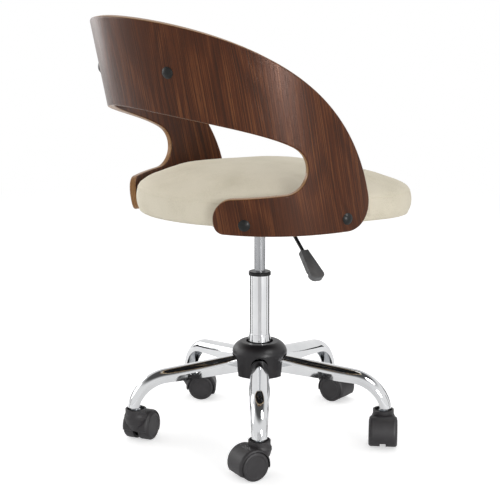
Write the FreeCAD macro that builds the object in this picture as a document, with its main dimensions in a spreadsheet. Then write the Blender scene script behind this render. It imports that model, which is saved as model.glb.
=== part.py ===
import FreeCAD, Part
import math
import os
import Sketcher
from FreeCAD import Placement, Rotation, Vector

# Desk chair with a bent walnut back shell, on a gas column and a five-arm caster base.
# The frame: origin on the floor under the column, +Z up, the sitter faces -Y and has +X on the left.

doc = FreeCAD.newDocument("DeskChair")

# Driving sizes, in millimetres and degrees
driving = {
    # Bent back shell: a flat blank wrapped on a cylinder that leans back
    "shell_radius": 240,
    "shell_wall": 12,
    "shell_lean": 11.57,
    "shell_axis_y": -25.3,
    "shell_axis_drop": 47.2,
    "blank_top": 435.4,
    "side_angle": 103.06,
    "side_height": 84.9,
    "top_pull_angle": 54.91,
    "side_pull": 183,
    "toe_radius": 47.4,
    "sole_slope_angle": -10,
    "heel_angle": 37.05,
    "heel_low_radius": 16.8,
    "heel_high_radius": 36,
    "instep_height": 129,
    "instep_angle": 51.33,
    "instep_slope_angle": -5.2,
    "gap_angle": 67.73,
    "gap_radius": 39,
    "gap_end_angle": 47,
    "band_low": 288.8,
    "band_pull_angle": 27.45,
    "gap_pull": 53,
    "shell_edge": 2.5,
    # Bolts through the shell, placed on the blank
    "heel_bolt_angle": 49.32,
    "heel_bolt_level": 6.3,
    "toe_bolt_angle": 90.24,
    "toe_bolt_level": 11.3,
    "back_bolt_angle": 30.32,
    "back_bolt_height": 341,
    "bolt_radius": 3,
    "bolt_clearance": 0.2,
    "bolt_head_radius": 5,
    "bolt_head_height": 1.8,
    "foot_bolt_length": 48,
    "back_bolt_length": 16.5,
    "spacer_radius": 7,
    "cap_radius": 9.5,
    "cap_rise": 4.2,
    "cap_rim": 0.8,
    "cap_wall": 0.4,
    # Back pad inside the band
    "pad_angle": 40.11,
    "pad_margin": 20,
    "pad_board": 6,
    "pad_board_inset": 9,
    "pad_foam": 24,
    "pad_corner": 28,
    # Seat
    "seat_height": 410,
    "seat_setback": 3.9,
    "seat_front": 203.6,
    "seat_corner": 105,
    "seat_side_gap": 6.6,
    "seat_board_thickness": 30,
    "seat_board_inset": 9,
    "cushion_rim": 45,
    "cushion_crown": 34,
    "cushion_rim_share": 0.975,
    "cloth_thickness": 0.8,
    "cloth_inset": 22,
    "cloth_margin": 3,
    "soft_gap": 0.3,
    # Swivel plate under the seat
    "plate_wall": 2.5,
    "plate_length": 170,
    "plate_channel": 104,
    "plate_depth": 30,
    "plate_flange": 28,
    "plate_bolt_radius": 3,
    "plate_bolt_spacing": 130,
    "plate_bolt_length": 24,
    "plate_bolt_head": 5,
    "socket_radius": 15,
    "socket_length": 21,
    "socket_drop": 9,
    # Gas column
    "cylinder_radius": 9.9,
    "cylinder_bore": 8.2,
    "cylinder_stand": 90,
    "cylinder_taper": 0.6,
    "rod_radius": 4,
    "piston_length": 8,
    "height_up": 45,
    "height_down": 65,
    "stop_gap": 1,
    "gland_length": 14,
    "tube_radius": 18.5,
    "tube_wall": 1.8,
    "tube_headroom": 11.5,
    "tube_floor": 3,
    "bush_length": 86,
    "bush_flange_radius": 20,
    "bush_flange_height": 6.5,
    "ring_radius": 20.4,
    "ring_height": 21,
    "ring_taper": 1.2,
    "ring_notches": 10,
    "ring_notch": 1.6,
    "slide_gap": 0.05,
    "seat_gap": 0.04,
    "bearing_radius": 11,
    "washer_thickness": 1.2,
    "ball_diameter": 4,
    "ball_count": 9,
    "cage_thickness": 1.6,
    "buffer_radius": 9,
    "rod_flange": 2.5,
    "rod_neck": 3.2,
    "rod_end": 4,
    "clip_radius": 7.5,
    "clip_thickness": 1.2,
    "clip_groove": 0.5,
    "clip_gap": 0.2,
    "pin_radius": 2.4,
    "pin_length": 16,
    "pin_rise": 4,
    "cap_thickness": 14,
    # Base hub and its cover
    "hub_floor": 106,
    "hub_height": 50,
    "hub_radius": 27,
    "cover_radius": 49.6,
    "cover_foot_radius": 47.2,
    "cover_lift": 1,
    "cover_height": 59,
    "cover_shoulder": 41,
    "cover_brim": 34,
    "cover_dome": 24,
    "cover_wall": 2.5,
    "cover_mouth_radius": 24.5,
    "cover_well": 7,
    "arch_half_width": 14.5,
    "arch_radius": 15,
    "arch_spring": 28.5,
    # Base arms
    "arm_count": 5,
    "base_angle": 3.5,
    "arm_root_rise": 40,
    "arm_fall_angle": 6.5,
    "arm_tip_past": 15.2,
    "arm_bend_radius": 78,
    "arm_end_height": 64.5,
    "arm_wall": 2,
    "arm_width_root": 22,
    "arm_width_middle": 34,
    "arm_width_bend": 34,
    "arm_width_tip": 24,
    "arm_depth_root": 32,
    "arm_depth_middle": 26,
    "arm_depth_bend": 21.5,
    "arm_depth_tip": 15.5,
    "arm_crown": 0.72,
    "weld_gap": 0.05,
    # Casters
    "caster_reach": 230,
    "caster_trail": 20,
    "wheel_radius": 25,
    "wheel_width": 20,
    "wheel_edge": 4.5,
    "wheel_gap": 0.6,
    "wheel_boss": 7,
    "wheel_recess": 11,
    "wheel_rim": 4.5,
    "wheel_disc": 19,
    "wheel_dish": 0.8,
    "web_width": 9,
    "hood_rim": 3.6,
    "hood_edge": 7,
    "web_floor": 9,
    "hood_skirt_rear": 12.7,
    "hood_skirt_front": 22,
    "neck_radius": 18.5,
    "neck_height": 8,
    "neck_top": 61,
    "neck_wall": 3,
    "neck_well": 4,
    "neck_flare": 2,
    "axle_radius": 3,
    "axle_depth": 14,
    "stem_radius": 5.5,
    "stem_length": 19,
    "stem_taper": 8,
    "stem_tip_radius": 2,
    "stem_root_radius": 4,
    "stem_root": 10,
    "stem_collar": 8,
    "stem_collar_height": 3,
    "stem_socket_wall": 2.6,
    "stem_socket_gap": 7,
    "caster_angle_1": 237.5,
    "caster_angle_2": 305,
    "caster_angle_3": 87.5,
    "caster_angle_4": 141.5,
    "caster_angle_5": 201,
    # Height lever
    "lever_radius": 3,
    "lever_reach": 82.6,
    "lever_past": 6,
    "lever_dip_angle": 41,
    "lever_bend": 14,
    "lever_arm": 93.5,
    "lever_gap": 0.1,
    "lever_swing_gap": 0.35,
    "lever_bush_radius": 6,
    "lever_bush_flange": 1.5,
    "grip_hold": 22,
    "grip_length": 60,
    "grip_width_neck": 15,
    "grip_width_end": 27,
    "grip_thickness": 9.5,
    "grip_corner": 10,
    "grip_notch": 4,
    "grip_notch_pitch": 11,
    "grip_notches": 4,
}

sheet = doc.addObject("Spreadsheet::Sheet", "sizes")
for row, (alias, amount) in enumerate(driving.items(), start=1):
    sheet.set("A%d" % row, alias)
    sheet.set("B%d" % row, str(amount))
    sheet.setAlias("B%d" % row, alias)
doc.recompute()

pieces = []


def number(expression):
    return float(sheet.evalExpression(expression))


def size(alias):
    return number("sizes." + alias)


def keep(piece, label):
    piece.Label = label
    pieces.append(piece)
    return piece


def new_body(label):
    body = doc.addObject("PartDesign::Body", label)
    return keep(body, label)


def new_feature(label, shape):
    feature = doc.addObject("Part::Feature", label)
    feature.Shape = shape
    feature.Placement = Placement()
    return keep(feature, label)


def origin_plane(body, role):
    return next(item for item in body.Origin.OriginFeatures if item.Role == role)


def new_sketch(body, name, role="XZ_Plane", lift=None):
    sketch = body.newObject("Sketcher::SketchObject", name)
    sketch.AttachmentSupport = [(origin_plane(body, role), "")]
    sketch.MapMode = "FlatFace"
    if lift:
        sketch.setExpression("AttachmentOffset.Base.z", lift)
    return sketch


def pin_point(sketch, geometry, end, across, up):
    # Ties one end of a sketch line to its two coordinates
    for kind, expression, axis in (("DistanceX", across, -2), ("DistanceY", up, -1)):
        value = number(expression)
        if abs(value) < 1e-9:
            sketch.addConstraint(Sketcher.Constraint("PointOnObject", geometry, end, axis))
        else:
            place = sketch.addConstraint(Sketcher.Constraint(kind, -1, 1, geometry, end, value))
            sketch.setExpression("Constraints[%d]" % place, expression)


def arc_centre(start, finish, radius):
    # A positive radius turns left along the outline, a negative one turns right
    chord = finish - start
    side = Vector(-chord.y, chord.x, 0) / chord.Length
    rise = math.sqrt(max(radius * radius - chord.Length * chord.Length / 4, 0))
    return (start + finish) * 0.5 + side * math.copysign(rise, radius)


def draw_outline(sketch, corners):
    # Each corner is (across, up), or (across, up, radius) where an arc leads on to the next one
    places = [Vector(number(corner[0]), number(corner[1]), 0) for corner in corners]
    ends = []
    for index, corner in enumerate(corners):
        start = places[index]
        finish = places[(index + 1) % len(places)]
        if len(corner) == 2:
            geometry = sketch.addGeometry(Part.LineSegment(start, finish), False)
            ends.append((geometry, 1, 2))
            continue
        radius = number(corner[2])
        centre = arc_centre(start, finish, radius)
        turns = [math.atan2(spot.y - centre.y, spot.x - centre.x) for spot in (start, finish)]
        if radius < 0:
            turns.reverse()
        circle = Part.Circle(centre, Vector(0, 0, 1), abs(radius))
        geometry = sketch.addGeometry(Part.ArcOfCircle(circle, turns[0], turns[1]), False)
        ends.append((geometry, 1, 2) if radius > 0 else (geometry, 2, 1))
    for index, (geometry, first, last) in enumerate(ends):
        following = ends[(index + 1) % len(ends)]
        sketch.addConstraint(Sketcher.Constraint("Coincident", geometry, last, following[0], following[1]))
        pin_point(sketch, geometry, first, corners[index][0], corners[index][1])
        if len(corners[index]) == 3:
            radius = abs(number(corners[index][2]))
            place = sketch.addConstraint(Sketcher.Constraint("Radius", geometry, radius))
            sketch.setExpression("Constraints[%d]" % place, "abs(%s)" % corners[index][2])


def draw_circle(sketch, radius, across="0", up="0"):
    spot = Vector(number(across), number(up), 0)
    circle = Part.Circle(spot, Vector(0, 0, 1), number(radius))
    geometry = sketch.addGeometry(circle, False)
    pin_point(sketch, geometry, 3, across, up)
    place = sketch.addConstraint(Sketcher.Constraint("Radius", geometry, number(radius)))
    sketch.setExpression("Constraints[%d]" % place, radius)


def turn(body, corners, name="Turned", cut=False):
    # Revolves an outline of (radius, height) corners about the upright axis
    sketch = new_sketch(body, name + "Profile")
    draw_outline(sketch, corners)
    kind = "PartDesign::Groove" if cut else "PartDesign::Revolution"
    feature = body.newObject(kind, name)
    feature.Profile = sketch
    feature.ReferenceAxis = (sketch, ["V_Axis"])
    feature.Angle = 360
    return feature


def extrude(body, sketch, length, name, cut=False, back=False, middle=False, through=False):
    kind = "PartDesign::Pocket" if cut else "PartDesign::Pad"
    feature = body.newObject(kind, name)
    feature.Profile = sketch
    feature.Reversed = back
    feature.Midplane = middle
    if through:
        feature.Type = "ThroughAll"
    else:
        feature.setExpression("Length", length)
    return feature


def upright(x, y, z, radius, height):
    return Part.makeCylinder(radius, height, Vector(x, y, z))


# Heights that several pieces share, as expressions on the sheet
tube_bottom = "sizes.hub_floor"
tube_bore = "(sizes.tube_radius - sizes.tube_wall)"
cover_low = "(sizes.hub_floor + sizes.cover_lift)"
cover_top = "(%s + sizes.cover_height)" % cover_low
well_floor = "(%s - sizes.cover_well)" % cover_top
hub_top = "(sizes.hub_floor + sizes.hub_height)"
plate_floor = "(sizes.seat_height - sizes.plate_depth)"
socket_low = "(%s - sizes.socket_drop)" % plate_floor
cylinder_top = "(%s + sizes.socket_length)" % socket_low
cylinder_low = "(%s + sizes.cylinder_stand)" % tube_bottom
tube_room = "(sizes.height_down + sizes.tube_headroom + sizes.bush_flange_height)"
tube_top = "(%s - %s)" % (socket_low, tube_room)
pin_top = "(%s + sizes.pin_rise)" % cylinder_top
shell_axis_z = "(sizes.seat_height - sizes.shell_axis_drop)"
seat_radius = "(sizes.shell_radius - sizes.shell_wall - sizes.seat_side_gap)"


# The leaning cylinder that carries the shell, the back pad and their bolts
lean = math.radians(size("shell_lean"))
shell_foot = Vector(0, size("shell_axis_y"), number(shell_axis_z))
shell_up = Vector(0, math.sin(lean), math.cos(lean))
shell_back = Vector(0, math.cos(lean), -math.sin(lean))
shell_radius = size("shell_radius")


def blank_reach(name):
    # How far a place lies from the blank's centre line, along the outside of the bend
    return shell_radius * math.radians(size(name + "_angle"))


def blank_point(reach, height, radius):
    # A point of the flat blank, wrapped at a radius: reach runs round from the back, to +X
    angle = reach / shell_radius
    outward = shell_back * math.cos(angle) + Vector(1, 0, 0) * math.sin(angle)
    return shell_foot + shell_up * height + outward * radius


def blank_outward(reach):
    angle = reach / shell_radius
    return shell_back * math.cos(angle) + Vector(1, 0, 0) * math.sin(angle)


def wrap_surface(radius):
    # The seam of the leaning cylinder lies at the open front; its angle is half a turn at the back
    surface = Part.Cylinder()
    surface.Radius = radius
    facing = Rotation(shell_back * -1, Vector(1, 0, 0), shell_up, "ZXY")
    surface.transform(Placement(shell_foot, facing).toMatrix())
    return surface


def flat(across, up):
    return FreeCAD.Base.Vector2d(across, up)


def plane_curve(kind, points):
    if kind == "line":
        return Part.Geom2d.Line2dSegment(*points)
    if kind == "arc":
        return Part.Geom2d.ArcOfCircle2d(*points)
    curve = Part.Geom2d.BezierCurve2d()
    curve.setPoles(points)
    return curve


def wrap_edge(kind, points, radius):
    # Lays one plane curve of the blank on the cylinder, so that the edge follows the bent sheet
    curve = plane_curve(kind, points).toBSpline()
    for index, pole in enumerate(curve.getPoles(), start=1):
        curve.setPole(index, flat(math.pi - pole.x / shell_radius, pole.y))
    return curve.toShape(wrap_surface(radius))


def wrapped_solid(layers):
    # Layers are (radius, outline) pairs from the outer skin inwards, with matching curves
    rings = [[wrap_edge(kind, points, radius) for kind, points in outline] for radius, outline in layers]
    faces = []
    for radius, ring in ((layers[0][0], rings[0]), (layers[-1][0], rings[-1])):
        skin = Part.Face(wrap_surface(radius), Part.Wire(ring))
        skin.validate()
        faces.append(skin)
    if len(rings) == 2:
        faces += [Part.makeRuledSurface(outer, inner) for outer, inner in zip(*rings)]
    else:
        faces += Part.makeLoft([Part.Wire(ring) for ring in rings], False).Faces
    shell = Part.makeShell(faces)
    shell.sewShape()
    solid = Part.Solid(shell)
    if solid.Volume < 0:
        solid.reverse()
    return solid


def mirrored(outline):
    # Closes a half outline that starts and ends on the centre line with its mirror image
    other = []
    for kind, points in reversed(outline):
        other.append((kind, [flat(-spot.x, spot.y) for spot in reversed(points)]))
    return outline + other


def on_circle(centre, radius, degrees):
    angle = math.radians(degrees)
    return flat(centre.x + radius * math.cos(angle), centre.y + radius * math.sin(angle))


def arc(centre, radius, start, finish):
    return ("arc", [on_circle(centre, radius, angle) for angle in (start, (start + finish) / 2, finish)])


def on_slope(spot, degrees, across):
    return spot.y + (across - spot.x) * math.tan(math.radians(degrees))


def shell_outline():
    # The flat blank: a round top edge, a toe on each side, and a foot reaching back under each gap
    side = blank_reach("side")
    top = size("blank_top")
    side_height = size("side_height")
    sole = size("sole_slope_angle")
    instep = size("instep_slope_angle")
    crown_poles = [flat(0, top), flat(blank_reach("top_pull"), top)]
    crown_poles += [flat(side, side_height + size("side_pull")), flat(side, side_height)]
    toe = arc(flat(side - size("toe_radius"), side_height), size("toe_radius"), 0, sole - 90)
    low_radius = size("heel_low_radius")
    low_across = blank_reach("heel") + low_radius
    low_up = on_slope(toe[1][-1], sole, low_across) + low_radius / math.cos(math.radians(sole))
    heel_low = arc(flat(low_across, low_up), low_radius, sole + 270, 180)
    instep_spot = flat(blank_reach("instep"), size("instep_height"))
    high_radius = size("heel_high_radius")
    high_across = blank_reach("heel") + high_radius
    high_up = on_slope(instep_spot, instep, high_across) - high_radius / math.cos(math.radians(instep))
    heel_high = arc(flat(high_across, high_up), high_radius, 180, instep + 90)
    gap_radius = size("gap_radius")
    gap_across = blank_reach("gap")
    gap_up = on_slope(instep_spot, instep, gap_across) + gap_radius / math.cos(math.radians(instep))
    gap_end = size("gap_end_angle")
    gap = arc(flat(gap_across, gap_up), gap_radius, instep - 90, gap_end)
    band_start = gap[1][-1]
    pull = on_circle(band_start, size("gap_pull"), gap_end + 90)
    low = size("band_low")
    band_poles = [band_start, pull, flat(blank_reach("band_pull"), low), flat(0, low)]
    half = [
        ("curve", crown_poles),
        toe,
        ("line", [toe[1][-1], heel_low[1][0]]),
        heel_low,
        ("line", [heel_low[1][-1], heel_high[1][0]]),
        heel_high,
        ("line", [heel_high[1][-1], gap[1][0]]),
        gap,
        ("curve", band_poles),
    ]
    return mirrored(half)


def height_on(points, across):
    # The height of a curve of the blank at a reach from the centre line, found by halving
    curve = plane_curve("curve", points)
    low, high = curve.FirstParameter, curve.LastParameter
    rising = curve.value(high).x > curve.value(low).x
    for step in range(40):
        middle = (low + high) / 2
        if (curve.value(middle).x < across) == rising:
            low = middle
        else:
            high = middle
    return curve.value(low).y


def pad_outline(inset):
    # The back pad follows the band's two edges at a margin
    shell_half = shell_outline()
    margin = size("pad_margin") + inset
    reach = blank_reach("pad") - inset
    corner = size("pad_corner")
    turn_in = reach - corner
    top_middle = height_on(shell_half[0][1], 0) - margin
    top_end = height_on(shell_half[0][1], turn_in) - margin
    low_middle = height_on(shell_half[8][1], 0) + margin
    low_end = height_on(shell_half[8][1], turn_in) + margin
    top_tip = top_end + 2 * (top_end - top_middle) / turn_in * corner
    low_tip = low_end + 2 * (low_end - low_middle) / turn_in * corner
    half = [
        ("curve", [flat(0, top_middle), flat(turn_in / 2, top_middle), flat(turn_in, top_end)]),
        ("curve", [flat(turn_in, top_end), flat(reach, top_tip), flat(reach, top_tip - corner)]),
        ("line", [flat(reach, top_tip - corner), flat(reach, low_tip + corner)]),
        ("curve", [flat(reach, low_tip + corner), flat(reach, low_tip), flat(turn_in, low_end)]),
        ("curve", [flat(turn_in, low_end), flat(turn_in / 2, low_middle), flat(0, low_middle)]),
    ]
    return mirrored(half)


# Bolts that pass through the shell towards its leaning axis
def foot_bolt_places(kind):
    # A pair of bolts at a level above the seat's underside, so that they enter the seat board
    reach = blank_reach(kind + "_bolt")
    level = size("seat_height") + size(kind + "_bolt_level")
    fall = shell_radius * math.cos(reach / shell_radius) * math.sin(lean)
    height = (level - shell_foot.z + fall) / math.cos(lean)
    return [(reach, height), (-reach, height)]


def radial_rod(place, radius, outer, inner):
    reach, height = place
    start = blank_point(reach, height, inner)
    return Part.makeCylinder(radius, outer - inner, start, blank_outward(reach))


def make_bolts(places, length):
    # Pan-headed bolts whose heads rest on the outside of the shell
    bolts = []
    head_top = shell_radius + size("bolt_head_height")
    for place in places:
        shaft = radial_rod(place, size("bolt_radius"), shell_radius + 0.5, shell_radius - length)
        head = radial_rod(place, size("bolt_head_radius"), head_top, shell_radius + size("seat_gap"))
        bolts.append(shaft.fuse(head).removeSplitter())
    return Part.makeCompound(bolts)


def sag(radius):
    # How far the shell curves away under the rim of a round cap
    return shell_radius - math.sqrt(shell_radius * shell_radius - radius * radius)


def leaning_cylinder(radius):
    # The solid inside a wrapped sheet, long enough for the whole chair
    reach = 2 * size("seat_height")
    return Part.makeCylinder(radius, 2 * reach, shell_foot - shell_up * reach, shell_up)


def make_caps(places):
    # A domed cap over each bolt head: a ball's cap turned in bands, hollow inside
    caps = []
    radius, rise = size("cap_radius"), size("cap_rise")
    dome_rise = rise - size("cap_rim")
    ball = (radius * radius + dome_rise * dome_rise) / (2 * dome_rise)
    base = shell_radius - sag(radius)
    room = size("cap_wall")
    bands = 3
    turns = [math.asin(radius / ball) * step / (2 * bands) for step in range(2 * bands + 1)]
    for place in places:
        outward = blank_outward(place[0])
        foot = blank_point(place[0], place[1], base - rise)
        ball_centre = blank_point(place[0], place[1], base + rise - ball)
        arc_spots = [ball_centre + (outward * math.cos(a) + shell_up * math.sin(a)) * ball for a in turns]
        profile = [Part.Arc(*arc_spots[k:k + 3]).toShape() for k in range(0, 2 * bands, 2)]
        corners = [arc_spots[-1], foot + shell_up * radius, foot, arc_spots[0]]
        profile += [Part.makeLine(one, two) for one, two in zip(corners, corners[1:])]
        dome = Part.Face(Part.Wire(profile)).revolve(foot, outward, 360)
        hollow_top = shell_radius + size("bolt_head_height") + room
        hollow = radial_rod(place, size("bolt_head_radius") + room, hollow_top, base - rise)
        caps.append(dome.cut(hollow).cut(leaning_cylinder(shell_radius + size("seat_gap"))))
    return Part.makeCompound(caps)


# Bent back shell
blank = shell_outline()
inner_radius = shell_radius - size("shell_wall")
foot_places = foot_bolt_places("heel") + foot_bolt_places("toe")
back_places = [(side * blank_reach("back_bolt"), size("back_bolt_height")) for side in (1, -1)]


def make_shell():
    sheet_solid = wrapped_solid([(shell_radius, blank), (inner_radius, blank)])
    softened = sheet_solid.makeFillet(size("shell_edge"), sheet_solid.Edges)
    hole_radius = size("bolt_radius") + size("bolt_clearance")
    through = size("shell_wall") / 2
    holes = []
    for place in foot_places + back_places:
        holes.append(radial_rod(place, hole_radius, shell_radius + through, inner_radius - through))
    return softened.cut(Part.makeCompound(holes))


new_feature("back_shell", make_shell())


# Seat outline: a half circle at the back, straight sides and two round front corners
seat_level = "(sizes.seat_height + sizes.seat_board_thickness / 2)"
seat_lean_shift = "tan(sizes.shell_lean * 1 deg) * (%s - %s)" % (seat_level, shell_axis_z)
seat_y = "(sizes.shell_axis_y + %s + sizes.seat_setback)" % seat_lean_shift


def seat_corners(inset):
    radius = "(%s - %s)" % (seat_radius, inset)
    side = "(%s - sizes.seat_front + sizes.seat_corner)" % seat_y
    front = "(%s - sizes.seat_front + %s)" % (seat_y, inset)
    bend = "(sizes.seat_corner - %s)" % inset
    flank = "(%s - %s)" % (radius, bend)
    return [
        (radius, seat_y, radius),
        ("0", "%s + %s" % (seat_y, radius), radius),
        ("-" + radius, seat_y),
        ("-" + radius, side, bend),
        ("-" + flank, front),
        (flank, front, bend),
        (radius, side),
    ]


def seat_ring(height, share=1, inset="0"):
    # The seat outline at an inset, scaled about the middle of its round back
    middle = Vector(0, number(seat_y), 0)
    corners = seat_corners(inset)
    places = [Vector(number(corner[0]), number(corner[1]), 0) for corner in corners]
    lift = Vector(0, 0, height)
    edges = []
    for index, corner in enumerate(corners):
        start = places[index]
        finish = places[(index + 1) % len(places)]
        ends = [middle + (spot - middle) * share + lift for spot in (start, finish)]
        if len(corner) == 2:
            edges.append(Part.makeLine(*ends))
            continue
        radius = number(corner[2])
        centre = arc_centre(start, finish, radius)
        halfway = (start + finish) * 0.5 - centre
        bulge = centre + halfway * (radius / halfway.Length)
        edges.append(Part.Arc(ends[0], middle + (bulge - middle) * share + lift, ends[1]).toShape())
    return Part.Wire(edges)


def make_cushion():
    # Drawn-in sides up to the rim, then a crown that flattens towards the middle
    floor = size("seat_height")
    rim = size("cushion_rim")
    crown = size("cushion_crown")
    rim_share = size("cushion_rim_share")
    side_steps = [(0, rim_share), (0.12, 0.988), (0.4, 1), (0.7, 0.997), (1, rim_share)]
    sides = [seat_ring(floor + rim * rise, share) for rise, share in side_steps]
    crown_rings = []
    for fraction in (1, 0.97, 0.92, 0.84, 0.72, 0.56, 0.38, 0.2, 0.06):
        rise = crown * (1 - fraction ** 1.7) ** (1 / 1.7)
        crown_rings.append(seat_ring(floor + rim + rise, rim_share * fraction))
    return Part.makeLoft(sides, True, False).fuse(Part.makeLoft(crown_rings, True, False))


# Seat board, dust cloth and cushion
def make_seat_board():
    body = new_body("seat_board")
    sketch = new_sketch(body, "BoardOutline", "XY_Plane", "sizes.seat_height")
    draw_outline(sketch, seat_corners("sizes.seat_board_inset"))
    extrude(body, sketch, "sizes.seat_board_thickness", "Board")
    holes = new_sketch(body, "PlateBoltHoles", "XY_Plane", "sizes.seat_height")
    for across, along in plate_bolt_spots():
        draw_circle(holes, "sizes.plate_bolt_radius + sizes.seat_gap", across, along)
    extrude(body, holes, "sizes.plate_bolt_length", "PlateBoltPocket", cut=True, back=True)
    return body


def plate_bolt_spots():
    across = "((sizes.plate_channel + sizes.plate_flange) / 2)"
    along = "(sizes.plate_bolt_spacing / 2)"
    return [(a + across, b + along) for a in ("", "-") for b in ("", "-")]


def insert_rods(radius, deep):
    # Rods on the foot bolts' lines, for their holes and sleeves
    rods = [radial_rod(place, radius, inner_radius, shell_radius - deep) for place in foot_places]
    return Part.makeCompound(rods)


board_holes = insert_rods(size("bolt_radius") + size("seat_gap"), size("foot_bolt_length") + 1)
board_blank = make_seat_board()
doc.recompute()
pieces.remove(board_blank)
board_blank.Label = "seat_board_blank"
new_feature("seat_board", board_blank.Shape.cut(board_holes))


def grown_board(gap):
    # The room that the board takes with a gap all round
    outline = seat_ring(size("seat_height") - gap, inset="(sizes.seat_board_inset - %s)" % gap)
    return Part.Face(outline).extrude(Vector(0, 0, size("seat_board_thickness") + 2 * gap))


def make_spacers():
    # A sleeve on each foot bolt, between the shell and the board's edge
    gap = size("seat_gap")
    sleeves = insert_rods(size("spacer_radius"), size("foot_bolt_length"))
    bores = insert_rods(size("bolt_radius") + size("bolt_clearance"), size("foot_bolt_length") + 1)
    inside = leaning_cylinder(inner_radius - gap)
    return sleeves.common(inside).cut(grown_board(gap)).cut(bores)


new_feature("foot_spacers", make_spacers())
new_feature("foot_bolts", make_bolts(foot_places, size("foot_bolt_length")))
sleeve_room = insert_rods(size("spacer_radius") + size("soft_gap"), size("foot_bolt_length"))
cushion = make_cushion().cut(grown_board(size("soft_gap"))).cut(sleeve_room)
new_feature("seat_cushion", cushion)


def make_dust_cloth():
    body = new_body("underside_cloth")
    sketch = new_sketch(body, "ClothOutline", "XY_Plane", "sizes.seat_height - sizes.soft_gap / 3")
    draw_outline(sketch, seat_corners("sizes.cloth_inset"))
    extrude(body, sketch, "sizes.cloth_thickness", "Cloth", back=True)
    window = new_sketch(body, "PlateWindow", "XY_Plane", "sizes.seat_height")
    half_across = "(sizes.plate_channel / 2 + sizes.plate_flange + sizes.cloth_margin)"
    half_along = "(sizes.plate_length / 2 + sizes.cloth_margin)"
    corners = [(half_across, half_along), ("-" + half_across, half_along)]
    corners += [("-" + half_across, "-" + half_along), (half_across, "-" + half_along)]
    draw_outline(window, corners)
    extrude(body, window, "sizes.cloth_thickness * 2", "Window", cut=True)
    return body


make_dust_cloth()


# Back pad: a thin curved board bolted inside the band, with foam on its front
pad_outer = inner_radius - size("soft_gap")
pad_front = pad_outer - size("pad_board")
pad_foam = size("pad_foam")


def make_pad_board():
    edge = pad_outline(size("pad_board_inset"))
    board = wrapped_solid([(pad_outer, edge), (pad_front, edge)])
    holes = [radial_rod(place, size("bolt_radius") + size("seat_gap"), pad_outer + 5, pad_front - 5)
             for place in back_places]
    return board.cut(Part.makeCompound(holes))


def make_back_pad():
    steps = [(0, 3), (0.3, 0), (0.72, 1.5), (1, 11)]
    back = pad_front - size("soft_gap")
    return wrapped_solid([(back - pad_foam * depth, pad_outline(inset)) for depth, inset in steps])


new_feature("pad_board", make_pad_board())
new_feature("back_pad", make_back_pad())
new_feature("back_bolts", make_bolts(back_places, size("back_bolt_length")))
new_feature("bolt_caps", make_caps(foot_places + back_places))


# Swivel plate: a hat channel under the board, with a cone socket welded in its floor
plate_top = "(sizes.seat_height - sizes.seat_gap)"
lever_height = "(%s + sizes.lever_radius + sizes.lever_gap)" % pin_top


def make_plate():
    body = new_body("seat_plate")
    sketch = new_sketch(body, "HatProfile")
    outer = "(sizes.plate_channel / 2)"
    inner = "(%s - sizes.plate_wall)" % outer
    edge = "(%s + sizes.plate_flange)" % outer
    flange_low = "(%s - sizes.plate_wall)" % plate_top
    floor_top = "(%s + sizes.plate_wall)" % plate_floor
    half = [(outer, plate_floor), (outer, flange_low), (edge, flange_low), (edge, plate_top),
            (inner, plate_top), (inner, floor_top)]
    other = [("-" + across, up) for across, up in reversed(half)]
    draw_outline(sketch, half + other)
    extrude(body, sketch, "sizes.plate_length", "Channel", middle=True)
    holes = new_sketch(body, "FlangeHoles", "XY_Plane", plate_top)
    for across, along in plate_bolt_spots():
        draw_circle(holes, "sizes.plate_bolt_radius + sizes.bolt_clearance", across, along)
    extrude(body, holes, "sizes.plate_wall * 2", "FlangeHolePocket", cut=True)
    seat = new_sketch(body, "ConeHole", "XY_Plane", floor_top)
    draw_circle(seat, "sizes.socket_radius + sizes.seat_gap")
    extrude(body, seat, "sizes.plate_wall * 2", "ConeHolePocket", cut=True)
    web = new_sketch(body, "LeverHole", "YZ_Plane", "-%s - sizes.plate_wall" % outer)
    draw_circle(web, "sizes.lever_bush_radius + sizes.seat_gap", "0", lever_height)
    extrude(body, web, "sizes.plate_wall * 3", "LeverHolePocket", cut=True, back=True)


def cylinder_radius_at(height):
    # The top of the gas cylinder tapers by a named amount over the socket's length
    share = "((%s - %s) / sizes.socket_length)" % (height, socket_low)
    return "(sizes.cylinder_radius - sizes.cylinder_taper * %s)" % share


def make_cone_socket():
    body = new_body("cone_socket")
    low_bore = "(%s + sizes.seat_gap)" % cylinder_radius_at(socket_low)
    high_bore = "(%s + sizes.seat_gap)" % cylinder_radius_at(cylinder_top)
    turn(body, [
        (low_bore, socket_low),
        ("sizes.socket_radius - 1", socket_low),
        ("sizes.socket_radius", "%s + 1" % socket_low),
        ("sizes.socket_radius", cylinder_top),
        (high_bore, cylinder_top),
    ])


def make_plate_bolts():
    bolts = []
    head_top = number(plate_top) - size("plate_wall") - size("seat_gap")
    head = size("plate_bolt_head")
    shaft_top = size("seat_height") + size("plate_bolt_length") - size("stop_gap")
    for across, along in plate_bolt_spots():
        x, y = number(across), number(along)
        shaft = upright(x, y, head_top - 1, size("plate_bolt_radius"), shaft_top - head_top + 1)
        bolts.append(shaft.fuse(upright(x, y, head_top - 0.7 * head, head, 0.7 * head)).removeSplitter())
    return Part.makeCompound(bolts)


make_plate()
make_cone_socket()
new_feature("plate_bolts", make_plate_bolts())


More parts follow.
